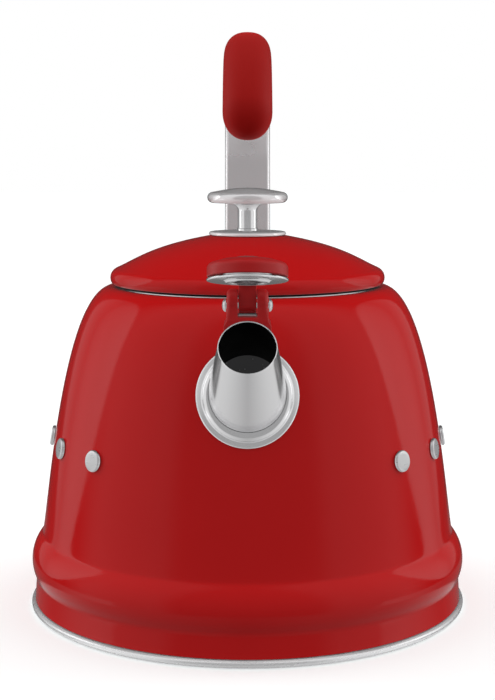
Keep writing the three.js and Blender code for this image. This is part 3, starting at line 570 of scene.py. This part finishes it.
def build_spout():
    angles = [2 * math.pi * j / ROUND_MID for j in range(ROUND_MID)]
    roots = [root_along(angle, 0) for angle in angles]
    outer, inner = [], []
    mouth = SPOUT_LENGTH - SPOUT_WALL / 2
    steps = 24
    for i in range(steps + 1):
        t = i / steps
        outer.append([spout_point(r + (mouth - r) * t, a, 0) for r, a in zip(roots, angles)])
        inner.append([spout_point(r + (mouth - r) * t, a, -SPOUT_WALL) for r, a in zip(roots, angles)])
    lip = []
    for k in range(1, 6):
        turn = math.pi * k / 6
        grow = -SPOUT_WALL / 2 + SPOUT_WALL / 2 * math.cos(turn)
        reach = SPOUT_WALL / 2 * math.sin(turn)
        lip.append([spout_point(mouth + reach, a, grow) for a in angles])
    rings = outer + lip + inner[::-1]
    tube = loft("spout_cone", rings, is_tube=True)
    dress(tube, "kettle", "polished_steel", SPOUT_STEEL, "spout_tube")

    def is_bore(centre, normal):
        axis_up = SPOUT_FOOT_HEIGHT + (-centre.y - spout_foot_forward) * math.tan(SPOUT_RISE)
        return normal.x * centre.x + normal.z * (centre.z - axis_up) < -0.5 * abs(centre.z - axis_up)

    # Painted shade: the faces that look into the bore take the near-black finish in place of the shade
    # down the spout.
    line_inside(tube, SPOUT_BORE_SHADE, is_bore)


ROSETTE_RADIUS = 21.1
ROSETTE_HEIGHT = 108.3


def on_wall(radius, rise, facets):
    """A ring on the pot's wall round the spout: each point stands off the wall by the rise."""
    slope = pot_slope_at(ROSETTE_HEIGHT)
    ring = []
    for j in range(facets):
        angle = 2 * math.pi * j / facets
        across = radius * math.cos(angle)
        up = ROSETTE_HEIGHT + radius * math.sin(angle) * math.cos(slope)
        forward = math.sqrt(pot_radius_at(up) ** 2 - across**2)
        ring.append((across, -(forward + rise * math.cos(slope)), up + rise * math.sin(slope)))
    return ring


def build_rosette():
    section = rounded([
        (SPOUT_MOUTH_RADIUS, 0.15),
        (ROSETTE_RADIUS, 0.15),
        (ROSETTE_RADIUS, 1.35),
        (18.5, 1.45),
        (18.1, 2.4),
        (16.9, 3.1),
        (15.6, 3.0),
        (SPOUT_MOUTH_RADIUS, 3.0),
    ], 0.6)
    rings = [on_wall(radius, rise, 2 * ROUND_MID) for radius, rise in section]
    rosette = loft("spout_collar", rings)
    boolean(rosette, "DIFFERENCE", spout_plug("rosette_hole", 0.12))
    dress(rosette, "kettle", "polished_steel", SPOUT_STEEL, "spout_rosette")


# ---------------------------------------------------------------- whistle
PIVOT = Vector(joint("whistle_hinge")["pos_m"]) / MM
TRAVEL = math.radians(joint("whistle_hinge")["range_deg"][1])
EAR_RADIUS = 6.5
EAR_SPAN = 16.1
EAR_SLOT = 7.5
EAR_ROUND = 1.7
SADDLE_WIDTH = 18.4
FLARE_DEPTH = 2.6
FLARE_STEPS = 8
SLOT_DROP = 3.9
SADDLE_DROP = 5.2
LEVER_WIDTH = 6.9
LEVER_HUB_RADIUS = 3.1
PIN_RADIUS = 1.25
PIN_BORE_RADIUS = 1.35
PIVOT_BEHIND_MOUTH = 6.6
PIVOT_ABOVE_MOUTH = 21.6
SEAT_GAP = 0.4
LEVER_TILT = math.pi / 2 - SPOUT_MOUTH_TILT - TRAVEL
whistle_place = Matrix.Translation(PIVOT) @ Matrix.Rotation(LEVER_TILT, 4, "X")
seat_from_pivot = Matrix.Translation((0, -PIVOT_ABOVE_MOUTH, PIVOT_BEHIND_MOUTH + SEAT_GAP))
seat_place = whistle_place @ seat_from_pivot


def build_whistle_bracket():
    forward, up = -PIVOT.y, PIVOT.z
    floor = up - SLOT_DROP
    deep = floor - 2 * SPOUT_MOUTH_RADIUS
    back, front = forward - EAR_RADIUS - 2, forward + EAR_RADIUS + 1
    saddle_top = up - SADDLE_DROP

    def ear_ring(x, inset):
        crest = arc((forward, up), EAR_RADIUS - 0.1 - inset, 0, 180, 24)
        outline = crest + [(back, saddle_top), (back, deep), (front, deep), (front, saddle_top)]
        return [(x, -y, z) for y, z in outline]

    def saddle_ring(height, half):
        corners = ((-half, back - 2), (half, back - 2), (half, front), (-half, front))
        return [(x, -y, height) for x, y in corners]

    turns = [math.radians(15 * k) for k in range(7)]
    flank = [(EAR_ROUND * (1 - math.cos(turn)), EAR_ROUND * (1 - math.sin(turn))) for turn in turns]
    stations = [(EAR_SPAN / 2 - x, inset) for x, inset in flank]
    stations += [(-x, inset) for x, inset in stations[::-1]]
    flare = []
    for k in range(FLARE_STEPS + 1):
        share = k / FLARE_STEPS
        widening = (SADDLE_WIDTH - EAR_SPAN) * (1 - math.cos(math.pi * share)) / 2
        flare.append((saddle_top - FLARE_DEPTH * share, EAR_SPAN + widening))
    slot_back, slot_front, slot_top = forward - 15, forward + 15, up + 10
    slot_outline = [(slot_back, floor), (slot_front, floor), (slot_front, slot_top), (slot_back, slot_top)]
    bracket = loft("whistle_clevis", [ear_ring(x, inset) for x, inset in stations])
    saddle_rings = [saddle_ring(z, width / 2) for z, width in [*flare, (deep, SADDLE_WIDTH)]]
    boolean(bracket, "UNION", loft("saddle", saddle_rings))
    slot = plate_across("slot", slot_outline, EAR_SLOT)
    boolean(bracket, "DIFFERENCE", slot, spout_plug("plug", 0.15))
    softened(bracket, 0.22, 8)
    keep_from_mirrors(dress(bracket, "kettle", "whistle_plastic", WHISTLE_RED, "whistle_bracket"))

    low, high = box_mm("detent_leaf")
    middle, half = (low + high) / 2, (high - low) / 2
    leaf_line = [(-middle.y - half.y, low.z), (-middle.y, low.z), (-middle.y + half.y, low.z)]
    leaf = sheet(evenly(leaf_line, 0.5)[::-1], -(high.z - low.z))
    leaf = plate_across("leaf_spring", leaf, high.x - low.x)
    dress(leaf, "kettle", "satin_steel", SATIN, "detent_leaf")


def pan_screw(name, body, node, place, shank, head, head_height, length, recess):
    """A screw with a domed head and a hexagon socket. Z runs out of the head, from its seat at 0."""
    section = [
        (0, -length),
        (shank, -length),
        (shank, 0),
        (head, 0),
        (head, head_height * 0.45),
        *arc((head * 0.55, head_height * 0.45), head * 0.45, 20, 80, 5),
        (0, head_height),
    ]
    section = [(r, min(z, head_height)) for r, z in section]
    screw = lathe(name, rounded(section, 0.25), ROUND_SMALL)
    hexagon = arc((0, 0), recess, 0, 300, 5)
    levels = (head_height * 0.3, head_height + 1)
    socket = loft("socket", [[(x, y, z) for x, y in hexagon] for z in levels])
    boolean(screw, "DIFFERENCE", socket)
    moved(screw, place)
    keep_from_mirrors(dress(screw, body, "satin_steel", SATIN, node))


def build_bracket_screw():
    low, high = box_mm("bracket_screw")
    head_height = 1.2
    seat = high.z - head_height
    place = Matrix.Translation((0, (low.y + high.y) / 2, seat))
    pan_screw("clevis_bolt", "kettle", "bracket_screw", place, 1.2, 2.2, head_height, seat - low.z, 1.0)


def build_hinge_pin():
    low, high = box_mm("hinge_pin")
    reach = high.x - 1.5
    head = (high.z - low.z) / 2
    crown = cubic((head, reach), (head, high.x - 0.6), (head * 0.6, high.x), (0, high.x), 10)
    half = [(PIN_RADIUS, 0), (PIN_RADIUS, reach), *crown]
    mirrored = [(r, -z) for r, z in half[::-1]]
    place = Matrix.Translation(PIVOT) @ Matrix.Rotation(math.pi / 2, 4, "Y")
    pin = lathe("pin_riveted", mirrored + half[1:], ROUND_SMALL, place)
    dress(pin, "kettle", "satin_steel", SATIN, "hinge_pin")


PLATE_RADIUS = 15.44
PLATE_SHEET = 0.9
CAP_RADIUS = 15.2
CAP_WALL = 1.8
CAP_VENT = 0.6
CAP_HEIGHT = 6.9
CAP_CORNER = 2.4
CUP_RADIUS = 9.2
CUP_DEPTH = 3
INLAY_RADIUS = 8.5


def build_whistle():
    hole = 1.5
    dimple = 3.75
    pressing = rounded([
        (hole, 0.45), (dimple, 0.45), (6.6, -0.35), (7.0, -0.8), (8.2, -0.8), (8.9, 0),
        (PLATE_RADIUS - 0.3, 0), (PLATE_RADIUS, 0.35), (PLATE_RADIUS - 0.25, PLATE_SHEET),
        (dimple + 1, PLATE_SHEET), (dimple, 1.35), (hole, 1.35),
    ], 0.35, is_loop=True)
    plate = lathe("whistle_disc", pressing, ROUND_MID, seat_place)
    dress(plate, "whistle", "polished_steel", POLISHED, "whistle_plate")

    foot = PLATE_SHEET + 0.3
    cup_top = foot + CUP_DEPTH
    cup = rounded([
        (CUP_RADIUS - 0.6, foot), (CUP_RADIUS + 1.2, foot), (CUP_RADIUS + 1.2, foot + 0.6),
        (CUP_RADIUS, foot + 0.6), (CUP_RADIUS, cup_top), (hole, cup_top), (hole, cup_top - 0.6),
        (CUP_RADIUS - 0.6, cup_top - 0.6),
    ], 0.25, is_loop=True)
    cup = lathe("whistle_back_disc", cup, ROUND_MID, seat_place)
    dress(cup, "whistle", "satin_steel", SATIN, "whistle_cup")

    cap_foot = PLATE_SHEET + CAP_VENT
    room = CAP_RADIUS - CAP_WALL
    ceiling = cup_top + 0.3
    pocket = INLAY_RADIUS + 0.12
    pocket_edge = CAP_HEIGHT + 1.1
    hollow = [(room - 1.2, ceiling), (room, ceiling - 1.2), (room, cap_foot), (CAP_RADIUS - 0.3, cap_foot)]
    shoulder = arc((CAP_RADIUS - CAP_CORNER, CAP_HEIGHT - CAP_CORNER), CAP_CORNER, 0, 80, 14)
    section = [
        (0, ceiling),
        *rounded(hollow, 0.4),
        (CAP_RADIUS, cap_foot + 0.3),
        *shoulder,
        *rounded([(pocket + 0.9, pocket_edge), (pocket, pocket_edge), (pocket, CAP_HEIGHT)], 0.3),
        (0, CAP_HEIGHT),
    ]
    cap = lathe("whistle_cap_moulding", section, ROUND_MID, seat_from_pivot)
    boolean(cap, "UNION", lever_solid())
    boolean(cap, "DIFFERENCE", round_cutter(PIN_BORE_RADIUS, -9, 9, Matrix.Rotation(math.pi / 2, 4, "Y")))
    moved(cap, whistle_place)
    keep_from_mirrors(dress(cap, "whistle", "whistle_plastic", WHISTLE_RED, "whistle_cap"))

    inlay_foot = CAP_HEIGHT + 0.3
    crown_radius = 26
    crown_centre = CAP_HEIGHT + 2.35 - crown_radius
    crown_edge = math.degrees(math.acos((INLAY_RADIUS - 0.3) / crown_radius))
    crown = arc((0, crown_centre), crown_radius, crown_edge, 90, 10)
    rim = [(0, inlay_foot), (INLAY_RADIUS, inlay_foot), (INLAY_RADIUS, crown[0][1] - 0.25)]
    inlay = lathe("cap_badge", [*rim, *crown[:-1], (0, crown[-1][1])], ROUND_MID, seat_place)
    dress(inlay, "whistle", "polished_steel", POLISHED, "cap_inlay")


def lever_solid():
    """The lever from the hinge hub up to the cap's wall, with softly rounded edges."""
    seat = PIVOT_BEHIND_MOUTH + SEAT_GAP
    wall_back = -PIVOT_ABOVE_MOUTH + CAP_RADIUS - CAP_WALL + 0.4
    top = seat + CAP_HEIGHT - CAP_CORNER / 2
    under = seat + PLATE_SHEET + CAP_VENT + 0.3
    outline = rounded([
        (LEVER_HUB_RADIUS, 0), (LEVER_HUB_RADIUS, under), (-wall_back, under),
        (-wall_back, top), (-LEVER_HUB_RADIUS, top), (-LEVER_HUB_RADIUS, 0),
    ], 1.5)
    outline += arc((0, 0), LEVER_HUB_RADIUS, 180, 360, 16)[1:-1]
    inset = 0.45
    middle = (0.0, top / 2)

    def lever_ring(x, amount):
        """The outline at x, pulled towards its middle by the amount."""
        ring = []
        for forward, up in outline:
            share = amount / max(math.dist((forward, up), middle), 1)
            ring.append((x, -(forward + (middle[0] - forward) * share), up + (middle[1] - up) * share))
        return ring

    half = LEVER_WIDTH / 2
    stations = [(half, inset), (half - inset * 0.3, inset * 0.3), (half - inset, 0)]
    stations = [(-x, amount) for x, amount in stations] + stations[::-1]
    return loft("lever", [lever_ring(x, amount) for x, amount in stations])


# ---------------------------------------------------------------- lid
LID_UNDER = box_mm("lid_shell")[0].z
LID_TOP = box_mm("lid_shell")[1].z
LID_RADIUS = box_mm("lid_shell")[1].x
LID_WALL = 1.2
RIM_RADIUS = 4.45
RIM_CENTRE = (LID_RADIUS - RIM_RADIUS, LID_UNDER + 2.6)
KNOB_HOLE = 2.3


def build_lid():
    rim = arc(RIM_CENTRE, RIM_RADIUS, -35.7, 65, 26)
    crease = rim[-1]
    flat = 14
    low_pull, high_pull = (crease[0] - 8.6, crease[1] + 3.65), (crease[0] - 16, crease[1] + 10.3)
    dome = cubic(crease, low_pull, high_pull, (flat, LID_TOP), 60)
    lip = rounded([(rim[0][0] - 3.1, LID_UNDER), (rim[0][0] - 0.6, LID_UNDER), rim[0], rim[2]], 0.5)
    outline = relaxed(evenly(lip[:-1] + rim[2:] + dome[1:] + [(KNOB_HOLE, LID_TOP)], 0.7), 3)
    lid = lathe("lid_enamel", sheet(outline, LID_WALL), ROUND_BIG)
    keep_from_mirrors(dress(lid, "lid", "enamel", ENAMEL, "lid_shell"))

    def is_lining(centre, normal):
        return normal.z < -0.3 and math.hypot(centre.x, centre.y) < RIM_CENTRE[0] - 1

    line_inside(lid, LINING, is_lining)

    low, high = box_mm("lid_skirt")
    inner = 54.0
    skirt = rounded([
        (inner, low.z), (inner + 1, low.z), (inner + 1, high.z - 1),
        (high.x, high.z - 1), (high.x, high.z), (inner, high.z),
    ], 0.4, is_loop=True)
    skirt = lathe("lid_skirt_ring", skirt, ROUND_BIG)
    keep_from_mirrors(dress(skirt, "lid", "satin_steel", SATIN, "lid_skirt"))
    # Painted shade: the skirt's outer steel faces take the black silicone, so the gap under the lid's rim
    # reads as a dark line.
    line_inside(skirt, SILICONE_AND_GAP_SHADE, lambda centre, normal: math.hypot(centre.x, centre.y) > inner + 2)

    low, high = box_mm("lid_seal")
    seal = lathe("lid_gasket", flat_ring(high.x - 2.2, high.x, low.z, high.z, 0.3), ROUND_BIG)
    keep_from_mirrors(dress(seal, "lid", "black_silicone", SILICONE_AND_GAP_SHADE, "lid_seal"))


def build_knob():
    low, high = box_mm("knob_plate")
    sag = 0.5
    plate = rounded([
        (KNOB_HOLE, low.z + sag), (14, low.z + sag), (high.x - 0.5, low.z), (high.x, low.z + 0.3),
        (high.x - 0.4, high.z - 0.1), (5.8, high.z), (KNOB_HOLE, high.z),
    ], 0.4, is_loop=True)
    base = lathe("knob_base", plate, ROUND_MID)
    keep_from_mirrors(dress(base, "lid", "polished_steel", PLATE_STEEL, "knob_plate"))

    low, high = box_mm("knob_stem")
    stem, collar = 4.35, 4.7
    flare_radius = high.x - stem
    line = [
        (0, low.z + 9), (KNOB_HOLE, low.z + 9), (KNOB_HOLE, low.z),
        (collar, low.z), (collar, low.z + 1.05), (stem + 0.05, low.z + 1.2), (stem, low.z + 1.35),
        *arc((high.x, high.z - flare_radius - 0.2), flare_radius, 180, 90, 12),
        (high.x, high.z), (0, high.z),
    ]
    column = lathe("knob_column", line, ROUND_MID)
    keep_from_mirrors(dress(column, "lid", "polished_steel", POLISHED, "knob_stem"))

    low, high = box_mm("knob_disc")
    thick = 4.8
    edge = arc((high.x - thick / 2, low.z + thick / 2), thick / 2, -90, 78, 24)
    radius, height = edge[-1]
    crown = cubic((radius, height), (radius - 5, height + 0.95), (radius - 10, high.z), (0, high.z), 16)
    top = lathe("knob_top", [(0, low.z), *edge, *crown[1:]], ROUND_BIG)
    keep_from_mirrors(dress(top, "lid", "polished_steel", KNOB_STEEL, "knob_disc"))

    low, high = box_mm("knob_washer")
    washer = flat_ring(KNOB_HOLE, high.x, low.z, high.z, 0.25)
    washer = lathe("knob_washer_ring", washer, ROUND_SMALL)
    keep_from_mirrors(dress(washer, "lid", "satin_steel", SATIN, "knob_washer"))
    low, high = box_mm("knob_screw")
    head_height = 2.4
    seat = low.z + head_height
    place = Matrix.Translation((0, 0, seat)) @ Matrix.Rotation(math.pi, 4, "X")
    pan_screw("knob_bolt", "lid", "knob_screw", place, 2, 4, head_height, high.z - seat, 1.9)


# ---------------------------------------------------------------- handle
ARM_WIDTH = (24, 22.6)
ARM_THICKNESS = 8
ARM_CORNER = 2.2
ARM_FOOT_Z = box_mm("handle_arm")[0].z
ARM_BACK_Y = box_mm("handle_arm")[1].y - ARM_THICKNESS / 2
ARM_STRAIGHT_TOP = 197
ARM_BEND_RADIUS = 50
ARM_SCREWS = ("handle_screw_1", "handle_screw_2")
ARM_SCREW_HOLE = 2.65
TANG_LENGTH = 34
CREST_Z = ARM_STRAIGHT_TOP + ARM_BEND_RADIUS
GRIP_WIDTH = box_mm("handle_grip")[1].x * 2
GRIP_DEPTH = 23.6
GRIP_BACK_Y = box_mm("handle_grip")[1].y
GRIP_BEND_RADIUS = 52
GRIP_BEND = 57.5


def handle_frame(back, up, direction):
    """A place on the handle's middle line: X across, local Y outward, local Z along."""
    along = Vector((0, math.cos(direction), math.sin(direction)))
    out = Vector((0, along.z, -along.y))
    return Vector((0, back, up)), out, along


def bend_frames(centre, radius, start, end, steps):
    points = arc(centre, radius, start, end, steps)
    return [
        handle_frame(back, up, math.radians(start + (end - start) * i / steps + 90))
        for i, (back, up) in enumerate(points)
    ]


def section_ring(place, section):
    origin, out, _ = place
    return [origin + Vector((x, 0, 0)) + out * y for x, y in section]


def rounded_rectangle(width, height, corner, steps=8):
    x, y = width / 2 - corner, height / 2 - corner
    ring = []
    for cx, cy, start in ((x, y, 0), (-x, y, 90), (-x, -y, 180), (x, -y, 270)):
        ring += arc((cx, cy), corner, start, start + 90, steps)
    return ring


def superellipse(width, height, power, count=64):
    ring = []
    for j in range(count):
        c, s = math.cos(2 * math.pi * j / count), math.sin(2 * math.pi * j / count)
        ring.append((
            width / 2 * math.copysign(abs(c) ** (2 / power), c),
            height / 2 * math.copysign(abs(s) ** (2 / power), s),
        ))
    return ring


def build_arm():
    low_width, high_width = ARM_WIDTH

    def arm_ring(place, inset=0.0):
        share = (place[0].z - ARM_FOOT_Z) / (CREST_Z - ARM_FOOT_Z)
        width = low_width + (high_width - low_width) * share - 2 * inset
        return section_ring(place, rounded_rectangle(width, ARM_THICKNESS - 2 * inset, ARM_CORNER - inset))

    def upright(height):
        return handle_frame(ARM_BACK_Y, ARM_FOOT_Z + height, math.pi / 2)

    straight = ARM_STRAIGHT_TOP - ARM_FOOT_Z
    rings = [arm_ring(upright(height), inset) for height, inset in ((0, 0.9), (0.3, 0.3), (0.9, 0))]
    rings += [arm_ring(upright(straight * share)) for share in (0.3, 0.6, 0.9)]
    bend_centre = (ARM_BACK_Y - ARM_BEND_RADIUS, ARM_STRAIGHT_TOP)
    rings += [arm_ring(place) for place in bend_frames(bend_centre, ARM_BEND_RADIUS, 0, 90, 40)]
    root, tip = (handle_frame(GRIP_BACK_Y + y, CREST_Z, math.pi) for y in (0.3, -TANG_LENGTH))
    tang_section = rounded_rectangle(11, 5, 0.8)
    rings += [arm_ring(root), section_ring(root, tang_section), section_ring(tip, tang_section)]
    arm = loft("arm_steel", rings)
    boolean(arm, "DIFFERENCE", *arm_screw_holes(ARM_BACK_Y, -8, 8))
    keep_from_mirrors(dress(arm, "kettle", "polished_steel", ARM_STEEL, "handle_arm"))


def arm_screw_holes(back, start, end):
    """Cutters for the two arm screws, reaching from start to end about a distance back."""
    holes = []
    for node in ARM_SCREWS:
        low, high = box_mm(node)
        place = Matrix.Translation((0, back, (low.z + high.z) / 2)) @ Matrix.Rotation(math.pi / 2, 4, "X")
        holes.append(round_cutter(ARM_SCREW_HOLE, start, end, place))
    return holes


def build_handle_bracket():
    """A cast saddle from the pot's wall to the arm, narrower in the middle than at the wall."""
    low, high = box_mm("handle_bracket")
    shares = (-1, -0.9, -0.5, 0, 0.5, 0.9, 1)
    rings = []
    rows = 14
    for i in range(rows + 1):
        z = low.z + (high.z - low.z) * i / rows
        half = high.x - 1.6 * abs(2 * i / rows - 1) ** 6
        waist = half * 0.86
        ring = []
        for share in shares:
            across = half * share
            ring.append((across, math.sqrt(pot_radius_at(z) ** 2 - across**2) + 0.3, z))
        for share in shares[::-1]:
            ring.append((waist * share, high.y - (0.8 if abs(share) == 1 else 0), z))
        rings.append(ring)
    bracket = loft("arm_saddle", rings)
    bevel = bracket.modifiers.new("bevel", "BEVEL")
    bevel.width = 0.8 * MM
    bevel.segments = 3
    bevel.limit_method = "ANGLE"
    bevel.angle_limit = math.radians(50)
    applied(bracket)
    shade(bracket)
    boolean(bracket, "DIFFERENCE", *arm_screw_holes(high.y, -3, 4.8))
    dress(bracket, "kettle", "satin_steel", SATIN, "handle_bracket")


def build_arm_screws():
    for i, node in enumerate(ARM_SCREWS):
        low, high = box_mm(node)
        head_height = 2.4
        seat = high.y - head_height
        place = Matrix.Translation((0, seat, (low.z + high.z) / 2)) @ Matrix.Rotation(-math.pi / 2, 4, "X")
        pan_screw(f"arm_bolt_{i + 1}", "kettle", node, place, 2.5, 4.35, head_height, seat - low.y, 2.1)


def build_grip():
    bend = bend_frames((0, CREST_Z - GRIP_BEND_RADIUS), GRIP_BEND_RADIUS, 90, 90 + GRIP_BEND, 40)
    power = 2.4

    def grip_ring(place, share=1.0):
        return section_ring(place, superellipse(GRIP_WIDTH * share, GRIP_DEPTH * share, power))

    back = [
        grip_ring(handle_frame(GRIP_BACK_Y - y, CREST_Z, math.pi), share)
        for y, share in ((0, 0.86), (0.15, 0.92), (0.6, 0.965), (1.3, 0.99), (2.4, 1))
    ]
    last, out, along = bend[-1]
    tip = []
    for k in range(1, 17):
        angle = math.radians(89.2 * k / 16)
        place = (last + along * (GRIP_DEPTH / 2 * math.sin(angle)), out, along)
        tip.append(grip_ring(place, math.cos(angle)))
    grip = loft("grip_moulding", back + [grip_ring(p) for p in bend] + tip)
    tang = rounded_rectangle(11.3, 5.3, 0.9)
    socket_ends = (handle_frame(GRIP_BACK_Y + y, CREST_Z, math.pi) for y in (1, -TANG_LENGTH - 0.2))
    socket = loft("socket", [section_ring(place, tang) for place in socket_ends])
    low, high = box_mm("grip_screw")
    screw_y = (low.y + high.y) / 2
    boolean(grip, "DIFFERENCE", socket, screw_recess(screw_y, high))
    keep_from_mirrors(dress(grip, "kettle", "soft_touch", SOFT_TOUCH, "handle_grip"))
    head_height = 1.8
    seat = low.z + head_height
    place = Matrix.Translation((0, screw_y, seat)) @ Matrix.Rotation(math.pi, 4, "X")
    pan_screw("grip_bolt", "kettle", "grip_screw", place, 1.6, 2.8, head_height, high.z - seat, 1.3)


def screw_recess(screw_y, high):
    """The counterbore and shank hole of the grip's screw, cut up from below to the tang."""
    under = CREST_Z - GRIP_DEPTH / 2
    step = under + 3.2
    head_room, shank_room = 3.05, 1.75
    section = [
        (0, under - 4), (head_room, under - 4), (head_room, step),
        (shank_room, step), (shank_room, high.z), (0, high.z),
    ]
    return lathe("recess", section, ROUND_SMALL, Matrix.Translation((0, screw_y, 0)))


# ---------------------------------------------------------------- studs
def build_studs():
    radius = 4.6
    thick = 1.5
    section = [
        (0, 0), (radius - 0.25, 0), (radius, 0.3),
        *arc((radius - 0.8, 0.7), 0.8, 0, 75, 8),
        (radius - 1.6, thick - 0.02), (0, thick),
    ]
    for side in ("left", "right"):
        for i in range(1, 5):
            node = f"stud_{side}_{i}"
            low, high = box_mm(node)
            middle = (low + high) / 2
            turn = math.atan2(middle.x, -middle.y)
            slope = pot_slope_at(middle.z)
            reach = pot_radius_at(middle.z) + 0.3
            place = (
                Matrix.Rotation(turn, 4, "Z")
                @ Matrix.Translation((0, -reach, middle.z))
                @ Matrix.Rotation(math.pi / 2 - slope, 4, "X")
            )
            stud = lathe(f"button_{side}_{i}", section, ROUND_SMALL, place)
            dress(stud, "kettle", "satin_steel", SATIN, node)


# ---------------------------------------------------------------- stage
def build_stage():
    floor_material, shader = new_material("floor_pale", (0.94, 0.98, 0.98), 1.0)
    shader.inputs["Emission Color"].default_value = (1, 1, 1, 1)
    shader.inputs["Emission Strength"].default_value = 0.25
    reach = 6000
    corners = [(-reach, -reach, 0), (reach, -reach, 0), (reach, reach, 0), (-reach, reach, 0)]
    floor = mesh_object("floor", corners, [(0, 1, 2, 3)])
    floor.data.materials.append(floor_material)
    floor.visible_diffuse = False
    floor.visible_glossy = False


def softbox(name, place, target, radius, bright, dim, start, end):
    """A round soft light whose glow falls from bright to dim between two shares of its width."""
    data = bpy.data.lights.new(name, "AREA")
    data.shape = "DISK"
    data.size = 2 * radius
    data.energy = math.pi * math.pi * radius**2
    data.use_nodes = True
    nodes, links = data.node_tree.nodes, data.node_tree.links
    place_on_light = nodes.new("ShaderNodeNewGeometry")
    split = nodes.new("ShaderNodeSeparateXYZ")
    fall = nodes.new("ShaderNodeMapRange")
    for key, value in (("From Min", start), ("From Max", end), ("To Min", bright), ("To Max", dim)):
        fall.inputs[key].default_value = value
    links.new(place_on_light.outputs["Parametric"], split.inputs["Vector"])
    links.new(split.outputs["X"], fall.inputs["Value"])
    links.new(fall.outputs["Result"], nodes["Emission"].inputs["Strength"])
    light = bpy.data.objects.new(name, data)
    light.location = place
    light.rotation_euler = (Vector(target) - Vector(place)).to_track_quat("-Z", "Y").to_euler()
    bpy.context.scene.collection.objects.link(light)


class Studio:
    """Builds the brightness of the surround as sums of soft steps in the direction of view."""

    def __init__(self, world):
        world.use_nodes = True
        self.nodes = world.node_tree.nodes
        self.links = world.node_tree.links

    def feed(self, socket, value):
        if isinstance(value, (int, float)):
            socket.default_value = value
        else:
            self.links.new(value, socket)

    def calculate(self, operation, a, b=0):
        node = self.nodes.new("ShaderNodeMath")
        node.operation = operation
        self.feed(node.inputs[0], a)
        self.feed(node.inputs[1], b)
        return node.outputs[0]

    def step(self, value, start, end, low=0.0, high=1.0):
        """A soft step of a value from low at start to high at end."""
        node = self.nodes.new("ShaderNodeMapRange")
        node.interpolation_type = "SMOOTHSTEP"
        self.feed(node.inputs["Value"], value)
        for name, number in (("From Min", start), ("From Max", end), ("To Min", low), ("To Max", high)):
            node.inputs[name].default_value = number
        return node.outputs["Result"]

    def blend(self, factor, a, b):
        node = self.nodes.new("ShaderNodeMix")
        for name, value in (("Factor", factor), ("A", a), ("B", b)):
            self.feed(node.inputs[name], value)
        return node.outputs["Result"]


def build_light():
    """A white surround for the eye, a soft sky for the shade and a calm studio for the gloss."""
    world = bpy.data.worlds.new("studio")
    bpy.context.scene.world = world
    studio = Studio(world)
    coordinates = studio.nodes.new("ShaderNodeTexCoord")
    split = studio.nodes.new("ShaderNodeSeparateXYZ")
    rays = studio.nodes.new("ShaderNodeLightPath")
    studio.links.new(coordinates.outputs["Generated"], split.inputs["Vector"])
    x, y, z = (split.outputs[axis] for axis in "XYZ")
    sideways = studio.calculate("MULTIPLY", studio.calculate("ABSOLUTE", x), 0.6)
    ahead = studio.calculate("SUBTRACT", studio.calculate("MULTIPLY", y, -1), sideways)

    # Gloss: bright to the sides, dimmer ahead, dark behind and pale below.
    gloss = studio.step(ahead, 0.2, 0.5, 0.85, 0.38)
    gloss = studio.blend(studio.step(y, -0.1, 0.35), gloss, 0.04)
    below = studio.calculate("ADD", studio.calculate("MULTIPLY", sideways, 0.7), 0.5)
    gloss = studio.blend(studio.step(z, -0.28, -0.4), gloss, below)
    # A low band, bright beside the kettle and fading towards the back.
    low_band = studio.calculate("MULTIPLY", studio.step(z, -0.37, -0.35), studio.step(z, -0.2, -0.22))
    low_band = studio.calculate("MULTIPLY", low_band, studio.step(y, -0.3, -0.26))
    gloss = studio.blend(low_band, gloss, studio.step(y, -0.3, 0.6, 1.6, 0.15))

    # Shade: a sky that is brighter to the sides and overhead, and dim below the horizon.
    sideness = studio.calculate("MULTIPLY", studio.calculate("MULTIPLY", x, x), 1.3)
    sideness = studio.calculate("ADD", sideness, 0.38)
    around = studio.calculate("ADD", sideness, studio.step(z, 0, 1, 0, 0.24))
    sky = studio.calculate("MULTIPLY", around, studio.step(z, -0.1, 0.1, 0.25, 1.0))
    level = studio.blend(rays.outputs["Is Glossy Ray"], sky, gloss)
    level = studio.blend(rays.outputs["Is Camera Ray"], level, 1.0)
    background = studio.nodes["Background"]
    background.inputs["Color"].default_value = (1, 1, 1, 1)
    studio.links.new(level, background.inputs["Strength"])

    across, back, height = 0.6, 0.385, 0.31
    for name, side, start in (("left_softbox", -1, 1), ("right_softbox", 1, 0)):
        softbox(name, (side * across, back, height), (0, back, height), 0.41, 1.7, 0.3, start, 0.5)


def build_camera():
    data = bpy.data.cameras.new("camera")
    data.sensor_width = 36
    data.lens = 75.86
    data.clip_start = 0.01
    data.clip_end = 50
    camera = bpy.data.objects.new("camera", data)
    camera.location = (0, -0.67, 0.209)
    camera.rotation_euler = (math.radians(90 - 7.9), 0, 0)
    bpy.context.scene.collection.objects.link(camera)
    bpy.context.scene.camera = camera
    bpy.context.scene.view_settings.view_transform = "Standard"


build_camera()
build_stage()
build_light()
build_pot()
build_base()
build_spout()
build_rosette()
build_whistle_bracket()
build_hinge_pin()
build_whistle()
build_lid()
build_knob()
build_arm()
build_handle_bracket()
build_arm_screws()
build_grip()
build_studs()

build_bracket_screw()
